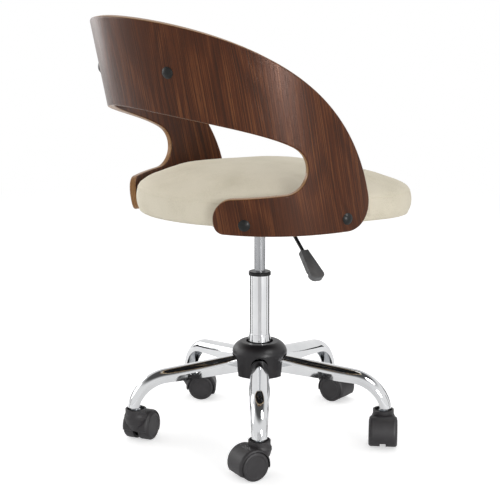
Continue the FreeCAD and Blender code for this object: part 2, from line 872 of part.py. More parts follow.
# Gas column: the cylinder rises and falls with the seat, the rod turns in the column tube
piston_low = "(%s + sizes.gland_length + sizes.height_up + sizes.stop_gap)" % cylinder_low
race_low = "(%s + sizes.tube_floor + sizes.seat_gap)" % tube_bottom
race_high = "(%s + 2 * sizes.washer_thickness + sizes.ball_diameter + 2 * sizes.seat_gap)" % race_low
rod_seat = "(%s + sizes.seat_gap)" % race_high
flange_top = "(%s + sizes.rod_flange)" % rod_seat
buffer_top = "(%s - sizes.height_down - 2 * sizes.stop_gap)" % cylinder_low


def make_gas_cylinder():
    body = new_body("gas_cylinder")
    pin_bore = "(sizes.pin_radius + sizes.slide_gap)"
    ceiling = "(%s - sizes.cap_thickness)" % cylinder_top
    turn(body, [
        ("sizes.cylinder_bore", cylinder_low),
        ("sizes.cylinder_radius - 0.5", cylinder_low),
        ("sizes.cylinder_radius", "%s + 0.5" % cylinder_low),
        ("sizes.cylinder_radius", socket_low),
        (cylinder_radius_at(cylinder_top), cylinder_top),
        (pin_bore, cylinder_top),
        (pin_bore, ceiling),
        ("sizes.cylinder_bore", ceiling),
    ])
    gland = new_body("cylinder_gland")
    rod_bore = "(sizes.rod_radius + sizes.slide_gap)"
    gland_top = "(%s + sizes.gland_length)" % cylinder_low
    gland_radius = "(sizes.cylinder_bore - sizes.seat_gap)"
    turn(gland, [
        (rod_bore, cylinder_low),
        (gland_radius, cylinder_low),
        (gland_radius, gland_top),
        (rod_bore, gland_top),
    ])
    pin = new_body("release_pin")
    pin_low = "(%s - sizes.pin_length)" % pin_top
    turn(pin, [
        ("0", pin_low),
        ("sizes.pin_radius", pin_low),
        ("sizes.pin_radius", "%s - 0.5" % pin_top),
        ("sizes.pin_radius - 1", pin_top),
        ("0", pin_top),
    ])


def make_column_tube():
    body = new_body("column_tube")
    rod_hole = "(sizes.rod_neck + sizes.clip_gap)"
    floor_top = "(%s + sizes.tube_floor)" % tube_bottom
    turn(body, [
        (rod_hole, tube_bottom),
        ("sizes.tube_radius - 1", tube_bottom),
        ("sizes.tube_radius", "%s + 1" % tube_bottom),
        ("sizes.tube_radius", tube_top),
        (tube_bore, tube_top),
        (tube_bore, floor_top),
        (rod_hole, floor_top),
    ])
    bush = new_body("guide_bush")
    bore = "(sizes.cylinder_radius + sizes.slide_gap)"
    sleeve = "(%s - sizes.seat_gap)" % tube_bore
    seat = "(%s + sizes.seat_gap)" % tube_top
    cup_top = "(%s + sizes.bush_flange_height)" % tube_top
    turn(bush, [
        (bore, "%s - sizes.bush_length" % tube_top),
        (sleeve, "%s - sizes.bush_length" % tube_top),
        (sleeve, seat),
        ("sizes.bush_flange_radius", seat),
        ("sizes.bush_flange_radius", "%s - 1" % cup_top),
        ("sizes.bush_flange_radius - 1", cup_top),
        (bore, cup_top),
    ])
    ring = new_body("column_foot_ring")
    ring_bore = "(sizes.tube_radius + sizes.seat_gap)"
    ring_low = "(%s + sizes.seat_gap)" % well_floor
    ring_top = "(%s + sizes.ring_height)" % well_floor
    turn(ring, [
        (ring_bore, ring_low),
        ("sizes.ring_radius", ring_low),
        ("sizes.ring_radius", "%s + sizes.cover_well + 1" % well_floor),
        ("sizes.ring_radius - sizes.ring_taper", ring_top),
        (ring_bore, ring_top),
    ])
    notch = new_sketch(ring, "NotchOutline", "YZ_Plane", "sizes.ring_radius + 1")
    half = "(sizes.ring_notch / 2)"
    notch_low = "(%s + sizes.cover_well + 1)" % well_floor
    notch_top = "%s + 1" % ring_top
    draw_outline(notch, [
        (half, notch_low),
        (half, notch_top),
        ("-" + half, notch_top),
        ("-" + half, notch_low),
    ])
    cut = extrude(ring, notch, "sizes.ring_radius + 1 - sizes.tube_radius - 0.5", "Notch", cut=True)
    repeat_round(ring, cut, "ring_notches", "Notches")


def repeat_round(body, feature, count, name):
    # Repeats a feature evenly round the upright axis
    body.Tip = feature
    pattern = body.newObject("PartDesign::PolarPattern", name)
    pattern.Originals = [feature]
    pattern.Axis = (next(item for item in body.Origin.OriginFeatures if item.Role == "Z_Axis"), [""])
    pattern.Angle = 360
    pattern.setExpression("Occurrences", "sizes." + count)
    body.Tip = pattern
    return pattern


def make_spindle():
    rod = new_body("piston_rod")
    floor = "(%s - sizes.clip_gap)" % tube_bottom
    groove_low = "(%s - sizes.clip_thickness - sizes.seat_gap)" % floor
    end = "(%s - sizes.rod_end)" % tube_bottom
    neck = "sizes.rod_neck"
    groove = "(sizes.rod_neck - sizes.clip_groove)"
    piston_top = "(%s + sizes.piston_length)" % piston_low
    piston = "(sizes.cylinder_bore - sizes.slide_gap)"
    step = "%s + sizes.clip_gap" % race_low
    turn(rod, [
        ("0", end),
        (neck, end),
        (neck, groove_low),
        (groove, groove_low),
        (groove, floor),
        (neck, floor),
        (neck, step),
        ("sizes.rod_radius", step),
        ("sizes.rod_radius", rod_seat),
        ("sizes.bearing_radius", rod_seat),
        ("sizes.bearing_radius", flange_top),
        ("sizes.rod_radius", flange_top),
        ("sizes.rod_radius", piston_low),
        (piston, piston_low),
        (piston, piston_top),
        ("0", piston_top),
    ])
    clip = new_body("rod_clip")
    clip_bore = "(%s + sizes.seat_gap)" % groove
    clip_low = "(%s + sizes.seat_gap / 2)" % groove_low
    clip_top = "(%s - sizes.seat_gap / 2)" % floor
    turn(clip, [
        (clip_bore, clip_low),
        ("sizes.clip_radius", clip_low),
        ("sizes.clip_radius", clip_top),
        (clip_bore, clip_top),
    ])
    buffer = new_body("rod_buffer")
    buffer_bore = "(sizes.rod_radius + sizes.seat_gap)"
    buffer_low = "(%s + sizes.seat_gap)" % flange_top
    turn(buffer, [
        (buffer_bore, buffer_low),
        ("sizes.buffer_radius", buffer_low),
        ("sizes.buffer_radius", "%s - 2" % buffer_top),
        ("sizes.buffer_radius - 2", buffer_top),
        (buffer_bore, buffer_top),
    ])


def race_ring(low, thickness, radius):
    bore = size("rod_radius") + size("clip_gap")
    return upright(0, 0, low, radius, thickness).cut(upright(0, 0, low - 1, bore, thickness + 2))


def make_thrust_bearing():
    # Two washers with a ring of balls between them, held by a thin cage
    low = number(race_low)
    washer = size("washer_thickness")
    ball = size("ball_diameter") / 2
    gap = size("seat_gap")
    middle = low + washer + gap + ball
    radius = size("bearing_radius")
    upper = race_ring(middle + ball + gap, washer, radius)
    new_feature("thrust_washers", Part.makeCompound([race_ring(low, washer, radius), upper]))
    cage = race_ring(middle - size("cage_thickness") / 2, size("cage_thickness"), radius)
    track = (size("rod_radius") + radius) / 2
    for step in range(int(size("ball_count"))):
        angle = 2 * math.pi * step / size("ball_count")
        spot = Vector(track * math.cos(angle), track * math.sin(angle), middle)
        cage = cage.fuse(Part.makeSphere(ball, spot))
    new_feature("thrust_cage", cage)


make_gas_cylinder()
make_column_tube()
make_spindle()
make_thrust_bearing()


# Base hub and the moulded cover over it
def make_hub():
    body = new_body("base_hub")
    bore = "(sizes.tube_radius + sizes.seat_gap)"
    turn(body, [
        (bore, "sizes.hub_floor"),
        ("sizes.hub_radius - 1", "sizes.hub_floor"),
        ("sizes.hub_radius", "sizes.hub_floor + 1"),
        ("sizes.hub_radius", hub_top),
        (bore, hub_top),
    ])


def make_cover():
    body = new_body("hub_cover")
    shoulder = "(%s + sizes.cover_shoulder)" % cover_low
    underside = "(%s - sizes.cover_wall)" % cover_top
    outer_well = "(sizes.cover_mouth_radius + sizes.cover_wall)"
    collar = "(sizes.tube_radius + 2 * sizes.clip_gap)"
    collar_low = "(%s + sizes.seat_gap)" % hub_top
    turn(body, [
        ("sizes.cover_foot_radius", cover_low),
        ("sizes.cover_radius", shoulder, "sizes.cover_dome"),
        ("sizes.cover_brim", cover_top),
        ("sizes.cover_mouth_radius", cover_top),
        ("sizes.cover_mouth_radius", well_floor),
        (collar, well_floor),
        (collar, collar_low),
        (outer_well, collar_low),
        (outer_well, underside),
        ("sizes.cover_brim", underside, "-sizes.cover_dome + sizes.cover_wall"),
        ("sizes.cover_radius - sizes.cover_wall", shoulder),
        ("sizes.cover_foot_radius - sizes.cover_wall", cover_low),
    ])
    arch = new_sketch(body, "ArchOutline", "YZ_Plane", "sizes.hub_radius + 4")
    half = "sizes.arch_half_width"
    low = "(%s - 2)" % cover_low
    spring = "(sizes.hub_floor + sizes.arch_spring)"
    draw_outline(arch, [
        (half, low),
        (half, spring, "sizes.arch_radius"),
        ("-" + half, spring),
        ("-" + half, low),
    ])
    cut = extrude(body, arch, "sizes.cover_radius", "Arch", cut=True, back=True)
    repeat_round(body, cut, "arm_count", "Arches")
    body.setExpression("Placement.Rotation.Angle", "sizes.base_angle * 1 deg")


# Pressed arms: a channel with a round crown, straight, then bent down over the caster
def arm_straight():
    # The straight run that leaves the bend's end a named step past the caster
    fall = math.radians(size("arm_fall_angle"))
    across = size("caster_reach") + size("arm_tip_past") - size("hub_radius")
    return (across - size("arm_bend_radius") * (1 - math.sin(fall))) / math.cos(fall)


def arm_spot(run):
    # A point on the crown line and the fall there; past the straight, the run goes on round the bend
    fall = math.radians(size("arm_fall_angle"))
    straight = arm_straight()
    bend = size("arm_bend_radius")
    along = min(run, straight)
    spot = Vector(size("hub_radius") + along * math.cos(fall), 0, size("hub_floor") + size("arm_root_rise"))
    spot.z -= along * math.sin(fall)
    if run > straight:
        angle = fall + (run - straight) / bend
        spot += Vector(math.sin(angle) - math.sin(fall), 0, math.cos(angle) - math.cos(fall)) * bend
        fall = angle
    return spot, fall


def arm_section(run, width, depth, shrink, deeper):
    spot, fall = arm_spot(run)
    down = Vector(-math.sin(fall), 0, -math.cos(fall))
    half = width / 2 - shrink
    crown = spot + down * shrink
    across = Vector(0, half, 0)
    shoulder = crown + down * (half * size("arm_crown"))
    foot = spot + down * (depth + deeper)
    return Part.Wire([
        Part.Arc(shoulder - across, crown, shoulder + across).toShape(),
        Part.makeLine(shoulder + across, foot + across),
        Part.makeLine(foot + across, foot - across),
        Part.makeLine(foot - across, shoulder - across),
    ])


def arm_loft(shrink, deeper):
    # Two lofts that share the section where the bend starts
    straight = arm_straight()
    quarter = size("arm_bend_radius") * math.radians(90 - size("arm_fall_angle"))
    widths = [size("arm_width_" + place) for place in ("root", "middle", "bend", "tip")]
    depths = [size("arm_depth_" + place) for place in ("root", "middle", "bend", "tip")]

    def section(run, place):
        return arm_section(run, mixed(widths, place), mixed(depths, place), shrink, deeper)

    beam = [section(share * straight, place) for share, place in ((-0.1, 0), (0.5, 1), (1, 2))]
    bend = [section(straight + step / 6 * quarter, 2 + step / 6) for step in range(7)]
    return Part.makeLoft(beam, True, False).fuse(Part.makeLoft(bend, True, False))


def mixed(values, place):
    # A value between two neighbours in a list
    low = min(int(place), len(values) - 2)
    return values[low] + (values[low + 1] - values[low]) * (place - low)


def make_arm():
    hollow = arm_loft(size("arm_wall"), size("arm_depth_tip"))
    hub = upright(0, 0, 0, size("hub_radius") + size("weld_gap"), 2 * number(hub_top))
    reach = 2 * size("caster_reach")
    below = Part.makeBox(reach, reach, size("arm_end_height"), Vector(0, -reach / 2, 0))
    return arm_loft(0, 0).cut(hollow).cut(hub).cut(below)


def make_socket():
    # A tube welded up into the crown of the arm, for a caster's stem
    reach = size("caster_reach")
    bore = size("stem_radius") + size("slide_gap")
    low = size("neck_top") + size("stem_socket_gap") - size("neck_well")
    height = number(hub_top) - low
    tube = upright(reach, 0, low, bore + size("stem_socket_wall"), height)
    tube = tube.cut(upright(reach, 0, low - 1, bore, height + 2))
    return tube.common(arm_loft(size("arm_wall") + size("seat_gap"), size("arm_depth_root")))


def arm_turn(index):
    return size("base_angle") + 360 / size("arm_count") * index


make_hub()
make_cover()
arm_shape = make_arm()
socket_shape = make_socket()
arms = range(int(size("arm_count")))
for index in arms:
    arm = new_feature("base_arm_%d" % (index + 1), arm_shape)
    arm.Placement = Placement(Vector(), Rotation(Vector(0, 0, 1), arm_turn(index)))
sockets = [socket_shape.rotated(Vector(), Vector(0, 0, 1), arm_turn(index)) for index in arms]
new_feature("caster_sockets", Part.makeCompound(sockets))


# Height lever: a bent rod through the plate's web, with a paddle grip
def make_lever():
    rod = new_body("lever_rod")
    path = new_sketch(rod, "LeverPath")
    dip = "sizes.lever_dip_angle * 1 deg"
    pull_back = "(sizes.lever_bend * tan(sizes.lever_dip_angle * 1 deg / 2))"
    corner = "(-sizes.lever_reach)"

    def along_lever(run):
        return "%s - %s * cos(%s)" % (corner, run, dip), "%s - %s * sin(%s)" % (lever_height, run, dip)

    spots = [
        ("sizes.lever_past", lever_height),
        ("%s + %s" % (corner, pull_back), lever_height, "sizes.lever_bend"),
        along_lever(pull_back),
        along_lever("sizes.lever_arm"),
    ]
    draw_path(path, spots)
    section = new_sketch(rod, "LeverSection", "YZ_Plane", "sizes.lever_past")
    draw_circle(section, "sizes.lever_radius", "0", lever_height)
    pipe = rod.newObject("PartDesign::AdditivePipe", "LeverPipe")
    pipe.Profile = section
    pipe.Spine = (path, [])
    return rod


def draw_path(sketch, spots):
    # An open path of lines and arcs, each end tied to the sheet
    places = [Vector(number(spot[0]), number(spot[1]), 0) for spot in spots]
    previous = None
    for index in range(len(spots) - 1):
        start, finish = places[index], places[index + 1]
        first, last = 1, 2
        if len(spots[index]) == 2:
            geometry = sketch.addGeometry(Part.LineSegment(start, finish), False)
        else:
            radius = number(spots[index][2])
            centre = arc_centre(start, finish, radius)
            turns = [math.atan2(spot.y - centre.y, spot.x - centre.x) for spot in (start, finish)]
            if radius < 0:
                turns.reverse()
                first, last = 2, 1
            circle = Part.Circle(centre, Vector(0, 0, 1), abs(radius))
            geometry = sketch.addGeometry(Part.ArcOfCircle(circle, turns[0], turns[1]), False)
            place = sketch.addConstraint(Sketcher.Constraint("Radius", geometry, abs(radius)))
            sketch.setExpression("Constraints[%d]" % place, "abs(%s)" % spots[index][2])
        if previous:
            meeting = Sketcher.Constraint("Coincident", previous[0], previous[1], geometry, first)
            sketch.addConstraint(meeting)
        pin_point(sketch, geometry, first, spots[index][0], spots[index][1])
        previous = (geometry, last)
    pin_point(sketch, previous[0], previous[1], spots[-1][0], spots[-1][1])


def make_grip():
    # A flat paddle that widens to a round end, with finger notches along one edge
    body = new_body("lever_grip")
    sketch = new_sketch(body, "PaddleOutline", "XY_Plane")
    neck = "(sizes.grip_width_neck / 2)"
    end = "(sizes.grip_width_end / 2)"
    tip = "sizes.grip_length"
    corner = "sizes.grip_corner"
    draw_outline(sketch, [
        ("0", "-" + neck),
        ("%s - %s" % (tip, corner), "-" + end, corner),
        (tip, "-%s + %s" % (end, corner)),
        (tip, "%s - %s" % (end, corner), corner),
        ("%s - %s" % (tip, corner), end),
        ("0", neck),
    ])
    pad = extrude(body, sketch, "sizes.grip_thickness", "Paddle", middle=True)
    doc.recompute()
    notch = new_sketch(body, "NotchCircle", "XY_Plane")
    draw_circle(notch, "sizes.grip_notch", "sizes.grip_notch_pitch", "%s + sizes.grip_notch / 2" % end)
    cut = extrude(body, notch, "sizes.grip_thickness * 2", "FingerNotch", cut=True, middle=True)
    body.Tip = cut
    row = body.newObject("PartDesign::LinearPattern", "FingerNotches")
    row.Originals = [cut]
    row.Direction = (next(item for item in body.Origin.OriginFeatures if item.Role == "X_Axis"), [""])
    row.setExpression("Length", "sizes.grip_notch_pitch * (sizes.grip_notches - 1)")
    row.setExpression("Occurrences", "sizes.grip_notches")
    body.Tip = row
    bore = new_sketch(body, "RodBore", "YZ_Plane")
    draw_circle(bore, "sizes.lever_radius + sizes.seat_gap")
    extrude(body, bore, "sizes.grip_hold + sizes.seat_gap", "RodPocket", cut=True, back=True)
    dip = math.radians(size("lever_dip_angle"))
    outward = Vector(-math.cos(dip), 0, -math.sin(dip))
    tip = Vector(-size("lever_reach"), 0, number(lever_height)) + outward * size("lever_arm")
    hold = tip - outward * size("grip_hold")
    body.Placement = Placement(hold, Rotation(outward, Vector(0, 1, 0), Vector(), "XYZ"))


def along_x(x, height, radius, length):
    return Part.makeCylinder(radius, length, Vector(x, 0, height), Vector(1, 0, 0))


def make_lever_bush():
    # A flanged plastic bush in the web, with room for the lever's small tilt
    web = -size("plate_channel") / 2
    wall = size("plate_wall")
    flange = size("lever_bush_flange")
    gap = size("seat_gap")
    height = number(lever_height)
    radius = size("lever_bush_radius")
    bush = along_x(web - flange, height, radius, flange + wall + gap + 1)
    bush = bush.fuse(along_x(web - flange, height, radius + 2, flange - gap))
    bore = size("lever_radius") + size("lever_swing_gap")
    return bush.cut(along_x(web - 10, height, bore, 20)).removeSplitter()


make_lever()
make_grip()
new_feature("lever_bush", make_lever_bush())


# Casters: twin wheels under a hood, on a stem that swivels in the arm's socket
neck_floor = "(sizes.neck_top - sizes.neck_well)"
stem_low = "(%s - sizes.stem_root)" % neck_floor
wheel_room = "(sizes.wheel_radius + sizes.wheel_gap)"
hood_radius = "(%s + sizes.hood_rim)" % wheel_room
web_half = "(sizes.web_width / 2)"
hood_width = "(sizes.web_width + 2 * (sizes.wheel_width + sizes.wheel_gap))"


def make_hood(label):
    body = new_body(label)
    barrel = new_sketch(body, "BarrelOutline")
    draw_circle(barrel, hood_radius, "-sizes.caster_trail", "sizes.wheel_radius")
    pad = extrude(body, barrel, hood_width, "Barrel", middle=True)
    doc.recompute()
    round_rim = 3 * number(hood_radius)
    rims = ["Edge%d" % (place + 1) for place, edge in enumerate(pad.Shape.Edges) if edge.Length > round_rim]
    rounding = body.newObject("PartDesign::Fillet", "RoundedRims")
    rounding.Base = (pad, rims)
    rounding.setExpression("Radius", "sizes.hood_edge")
    shoulder = "(sizes.neck_top - sizes.neck_height)"
    turn(body, [
        ("0", "sizes.hood_skirt_front"),
        ("sizes.neck_radius / 2", "sizes.hood_skirt_front"),
        ("sizes.neck_radius - 1", "sizes.wheel_radius + 10"),
        ("sizes.neck_radius + sizes.neck_flare", "%s - 8" % shoulder),
        ("sizes.neck_radius + sizes.neck_flare", "%s - 4" % shoulder),
        ("sizes.neck_radius", shoulder),
        ("sizes.neck_radius", "sizes.neck_top"),
        ("0", "sizes.neck_top"),
    ], "Neck")
    skirt = new_sketch(body, "SkirtLine")
    rear = "(-sizes.caster_trail - %s)" % hood_radius
    draw_outline(skirt, [
        ("%s - 5" % rear, "-5"),
        ("sizes.neck_radius", "-5"),
        ("sizes.neck_radius", "sizes.hood_skirt_front"),
        ("sizes.neck_radius / 2", "sizes.hood_skirt_front"),
        ("-sizes.caster_trail + 6", "sizes.web_floor + 1"),
        ("-sizes.caster_trail - 10", "sizes.web_floor"),
        ("%s - 5" % rear, "sizes.hood_skirt_rear + 1"),
    ])
    extrude(body, skirt, hood_width + " * 2", "Skirt", cut=True, middle=True)
    for name, side, back in (("LeftWheelRoom", "-", False), ("RightWheelRoom", "", True)):
        room = new_sketch(body, name + "Circle", "XZ_Plane", side + web_half)
        draw_circle(room, wheel_room, "-sizes.caster_trail", "sizes.wheel_radius")
        extrude(body, room, hood_width, name, cut=True, back=back)
    turn(body, [
        ("0", "sizes.neck_top + 1"),
        ("0", stem_low),
        ("sizes.stem_root_radius + sizes.seat_gap", stem_low),
        ("sizes.stem_root_radius + sizes.seat_gap", neck_floor),
        ("sizes.neck_radius - sizes.neck_wall", neck_floor),
        ("sizes.neck_radius - sizes.neck_wall", "sizes.neck_top + 1"),
    ], "Well", cut=True)
    bore = new_sketch(body, "AxleCircle")
    draw_circle(bore, "sizes.axle_radius + sizes.seat_gap", "-sizes.caster_trail", "sizes.wheel_radius")
    extrude(body, bore, hood_width, "AxleBore", cut=True, middle=True)
    return body


def make_stem(label):
    body = new_body(label)
    low = "(%s + sizes.seat_gap)" % stem_low
    collar_low = "(%s + sizes.seat_gap)" % neck_floor
    collar_top = "(%s + sizes.stem_collar_height)" % neck_floor
    top = "(%s + sizes.stem_length)" % collar_top
    shoulder = "(%s - sizes.stem_taper)" % top
    turn(body, [
        ("0", low),
        ("sizes.stem_root_radius", low),
        ("sizes.stem_root_radius", collar_low),
        ("sizes.stem_collar", collar_low),
        ("sizes.stem_collar", collar_top),
        ("sizes.stem_radius", collar_top),
        ("sizes.stem_radius", shoulder),
        ("sizes.stem_tip_radius", top),
        ("0", top),
    ])
    return body


def make_axle(label):
    axle = doc.addObject("Part::Cylinder", label)
    axle.setExpression("Radius", "sizes.axle_radius")
    axle.setExpression("Height", "2 * (%s + sizes.wheel_gap + sizes.axle_depth)" % web_half)
    return keep(axle, label)


def make_wheel(label):
    body = new_body(label)
    bore = "(sizes.axle_radius + sizes.slide_gap)"
    rim = "(sizes.wheel_radius - sizes.wheel_rim)"
    edge = "(sizes.wheel_radius - sizes.wheel_edge)"
    dish = "(sizes.wheel_width - sizes.wheel_dish)"
    blind = "(sizes.axle_depth + sizes.stop_gap)"
    turn(body, [
        (bore, "0"),
        ("sizes.wheel_boss", "0"),
        ("sizes.wheel_boss", "sizes.wheel_recess"),
        (rim, "sizes.wheel_recess"),
        (rim, "0"),
        ("sizes.wheel_radius", "0"),
        ("sizes.wheel_radius", "sizes.wheel_width - sizes.wheel_edge", "sizes.wheel_edge"),
        (edge, "sizes.wheel_width"),
        ("sizes.wheel_disc", "sizes.wheel_width"),
        ("sizes.wheel_disc - sizes.wheel_dish", dish),
        ("0", dish),
        ("0", blind),
        (bore, blind),
    ])
    return body


def place_caster(piece, spot, direction, index):
    # Moves a piece from the caster's own frame to its arm, turned to trail at the given yaw
    arm_angle = math.radians(arm_turn(index))
    reach = size("caster_reach")
    foot = Vector(reach * math.cos(arm_angle), reach * math.sin(arm_angle), 0)
    yaw = Rotation(Vector(0, 0, 1), size("caster_angle_%d" % (index + 1)) + 180)
    piece.Placement = Placement(foot + yaw.multVec(spot), yaw * Rotation(Vector(0, 0, 1), direction))


for index in arms:
    name = "caster_%d_" % (index + 1)
    axle_spot = Vector(-size("caster_trail"), 0, size("wheel_radius"))
    inner_face = number(web_half) + size("wheel_gap")
    axle_half = Vector(0, inner_face + size("axle_depth"), 0)
    upward = Vector(0, 0, 1)
    place_caster(make_hood(name + "hood"), Vector(), upward, index)
    place_caster(make_stem(name + "stem"), Vector(), upward, index)
    place_caster(make_axle(name + "axle"), axle_spot - axle_half, Vector(0, 1, 0), index)
    left_spot = axle_spot + Vector(0, inner_face, 0)
    right_spot = axle_spot - Vector(0, inner_face, 0)
    place_caster(make_wheel(name + "wheel_left"), left_spot, Vector(0, 1, 0), index)
    place_caster(make_wheel(name + "wheel_right"), right_spot, Vector(0, -1, 0), index)


# Every object is checked before any file is written
doc.recompute()
for item in doc.Objects:
    trouble = [word for word in ("Invalid", "Error") if word in item.State]
    if trouble:
        raise SystemExit("%s (%s): %s" % (item.Name, item.Label, ", ".join(trouble)))
for piece in pieces:
    if piece.Shape.isNull() or not piece.Shape.isValid() or piece.Shape.Volume <= 0:
        raise SystemExit("%s has no valid solid" % piece.Label)

os.makedirs("parts", exist_ok=True)
for piece in pieces:
    piece.Shape.exportStep("parts/%s.step" % piece.Label)
    print("%-24s %d solids, %d faces" % (piece.Label, len(piece.Shape.Solids), len(piece.Shape.Faces)))
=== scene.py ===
import bisect
import math
import bmesh
import bpy
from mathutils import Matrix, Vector
from mathutils.bvhtree import BVHTree
from mathutils.kdtree import KDTree


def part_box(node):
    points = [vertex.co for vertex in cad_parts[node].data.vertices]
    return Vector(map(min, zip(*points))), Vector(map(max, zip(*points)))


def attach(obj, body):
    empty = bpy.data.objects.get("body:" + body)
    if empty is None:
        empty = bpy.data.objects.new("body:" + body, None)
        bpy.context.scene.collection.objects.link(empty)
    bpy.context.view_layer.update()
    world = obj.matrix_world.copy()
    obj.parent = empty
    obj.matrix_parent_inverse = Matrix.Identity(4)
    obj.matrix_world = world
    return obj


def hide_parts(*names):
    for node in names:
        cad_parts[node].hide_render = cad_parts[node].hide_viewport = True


# A desk chair: bent walnut back shell, cream seat and back pad, gas column and a five-arm base on casters

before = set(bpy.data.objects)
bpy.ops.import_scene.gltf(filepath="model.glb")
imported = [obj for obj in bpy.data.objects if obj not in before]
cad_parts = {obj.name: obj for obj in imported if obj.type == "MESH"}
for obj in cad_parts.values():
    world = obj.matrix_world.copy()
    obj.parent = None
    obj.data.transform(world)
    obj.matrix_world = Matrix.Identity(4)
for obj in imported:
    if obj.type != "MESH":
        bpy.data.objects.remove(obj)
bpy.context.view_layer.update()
print("frame loaded:", len(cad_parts), "nodes")

# The shell, the back pad and its seam follow one cylinder that leans back, in metres and degrees. The wood
# reaches that far round from its back, to each side
shellForm = {"foot": (0, -0.0253, 0.3628), "lean": 11.57, "radius": 0.240, "wall": 0.012, "reach": 104}
shellFoot = Vector(shellForm["foot"])
leanAngle = math.radians(shellForm["lean"])
shellUp = Vector((0, math.sin(leanAngle), math.cos(leanAngle)))
shellBack = Vector((0, math.cos(leanAngle), -math.sin(leanAngle)))
faceGap = 0.0001  # m, keeps two faces out of one plane


def linear(code):
    # an sRGB hex code as a linear colour
    values = [int(code[i:i + 2], 16) / 255 for i in (0, 2, 4)]
    return tuple(v / 12.92 if v <= 0.04045 else ((v + 0.055) / 1.055) ** 2.4 for v in values) + (1,)


def addNode(tree, kind, inputs=None, **settings):
    # one node with its settings; an input is a value, or a socket to link from
    node = tree.nodes.new(kind)
    for name, value in settings.items():
        setattr(node, name, value)
    for key, value in (inputs or {}).items():
        if isinstance(value, bpy.types.NodeSocket):
            tree.links.new(value, node.inputs[key])
        else:
            node.inputs[key].default_value = value
    return node


def newMaterial(name, constants):
    # a material with its shader's fixed values set on the sockets
    material = bpy.data.materials.new(name)
    material.use_nodes = True
    shader = material.node_tree.nodes["Principled BSDF"]
    for socket, value in constants.items():
        shader.inputs[socket].default_value = value
    return material, material.node_tree, shader


def fillRamp(node, stops):
    # the colours of a ramp, from (place, hex) pairs
    ramp = node.color_ramp
    while len(ramp.elements) < len(stops):
        ramp.elements.new(0.5)
    for element, (place, code) in zip(ramp.elements, stops):
        element.position = place
        element.color = linear(code)
    return node


def linkPiece(name, mesh, material, body):
    # a finished mesh as a piece that rides on a body
    piece = bpy.data.objects.new(name, mesh)
    bpy.context.scene.collection.objects.link(piece)
    mesh.materials.clear()
    mesh.materials.append(material)
    for face in mesh.polygons:
        face.use_smooth = True
    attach(piece, body)
    return piece


def evaluated(piece):
    # the mesh that a piece's modifiers make, as a plain mesh
    graph = bpy.context.evaluated_depsgraph_get()
    graph.update()
    return bpy.data.meshes.new_from_object(piece.evaluated_get(graph), depsgraph=graph)


# The place in metres, the angles in degrees, the lens and the sensor in millimetres
photoView = {"place": (-1.7589, 1.1196, 0.7373), "heading": -32.0, "down": 10.988, "lens": 85.81,
             "sensor": 36}
studio = {
    "roomLight": 0.6,
    "floorShade": "F4F4F4",
    "floorLift": {"camera": 0.52, "gloss": 0.3},  # light added to the floor as each kind of ray sees it
    "floorSize": 40,  # m
    "floorFade": (1.1, 3.2),  # m from the column, where the floor melts into the white backdrop
    # the dark ceiling that gloss sees: how steep a ray is where it begins and where it is full, its shade
    "ceiling": (0.55, 0.85, 0.1),
    "lampsAim": (0, 0, 0.4),  # m, the place on the column that every lamp faces
    # each lamp: degrees round from the camera, distance, height and size in m, power in W, and whether only
    # gloss sees it
    "lamps": {
        "softboxHigh": (170, 0.7, 2.9, 1.7, 15, False),
        "softboxLeft": (-100, 2.3, 1.0, 1.4, 11, False),
        "softboxBehind": (-132, 2.3, 0.8, 1.0, 6, False),
        "softboxRight": (28, 2.2, 0.6, 0.5, 11, False),
        "softboxSheen": (27, 2.1, 0.6, 0.45, 9, True),
        "softboxOver": (50, 1.3, 1.6, 0.75, 15, True),
    },
    # low cards that only gloss sees, for the dark lines of bright metal: degrees round from the camera,
    # distance, width, height, shade
    "cards": {
        "cardRight": (120, 0.65, 0.22, 0.22, "0C0C0C"),
        "cardLeft": (-124, 0.65, 0.22, 0.22, "0C0C0C"),
        "stripRight": (84, 0.65, 0.05, 0.22, "3A3A3A"),
        "stripLeft": (-87, 0.65, 0.05, 0.22, "3A3A3A"),
        "cardFront": (0, 0.65, 0.45, 0.22, "F8F8F8"),
    },
}


def setCamera():
    data = bpy.data.cameras.new("photoCamera")
    data.lens = photoView["lens"]
    data.sensor_width = photoView["sensor"]
    camera = bpy.data.objects.new("photoCamera", data)
    camera.location = photoView["place"]
    camera.rotation_euler = (math.radians(90 - photoView["down"]), 0, math.radians(photoView["heading"] - 90))
    bpy.context.scene.collection.objects.link(camera)
    bpy.context.scene.camera = camera


def roundFromCamera(turn, distance, height):
    # a place in the studio by its turn round the column from the camera's side, and the heading to it
    heading = math.atan2(photoView["place"][1], photoView["place"][0]) + math.radians(turn)
    return (distance * math.cos(heading), distance * math.sin(heading), height), heading


def flatPiece(name, size, material):
    # a flat sheet of the studio, size in metres
    width, length = size
    corners = [(-width / 2, -length / 2, 0), (width / 2, -length / 2, 0), (width / 2, length / 2, 0),
               (-width / 2, length / 2, 0)]
    mesh = bpy.data.meshes.new(name)
    mesh.from_pydata(corners, [], [(0, 1, 2, 3)])
    mesh.materials.append(material)
    piece = bpy.data.objects.new(name, mesh)
    bpy.context.scene.collection.objects.link(piece)
    return piece


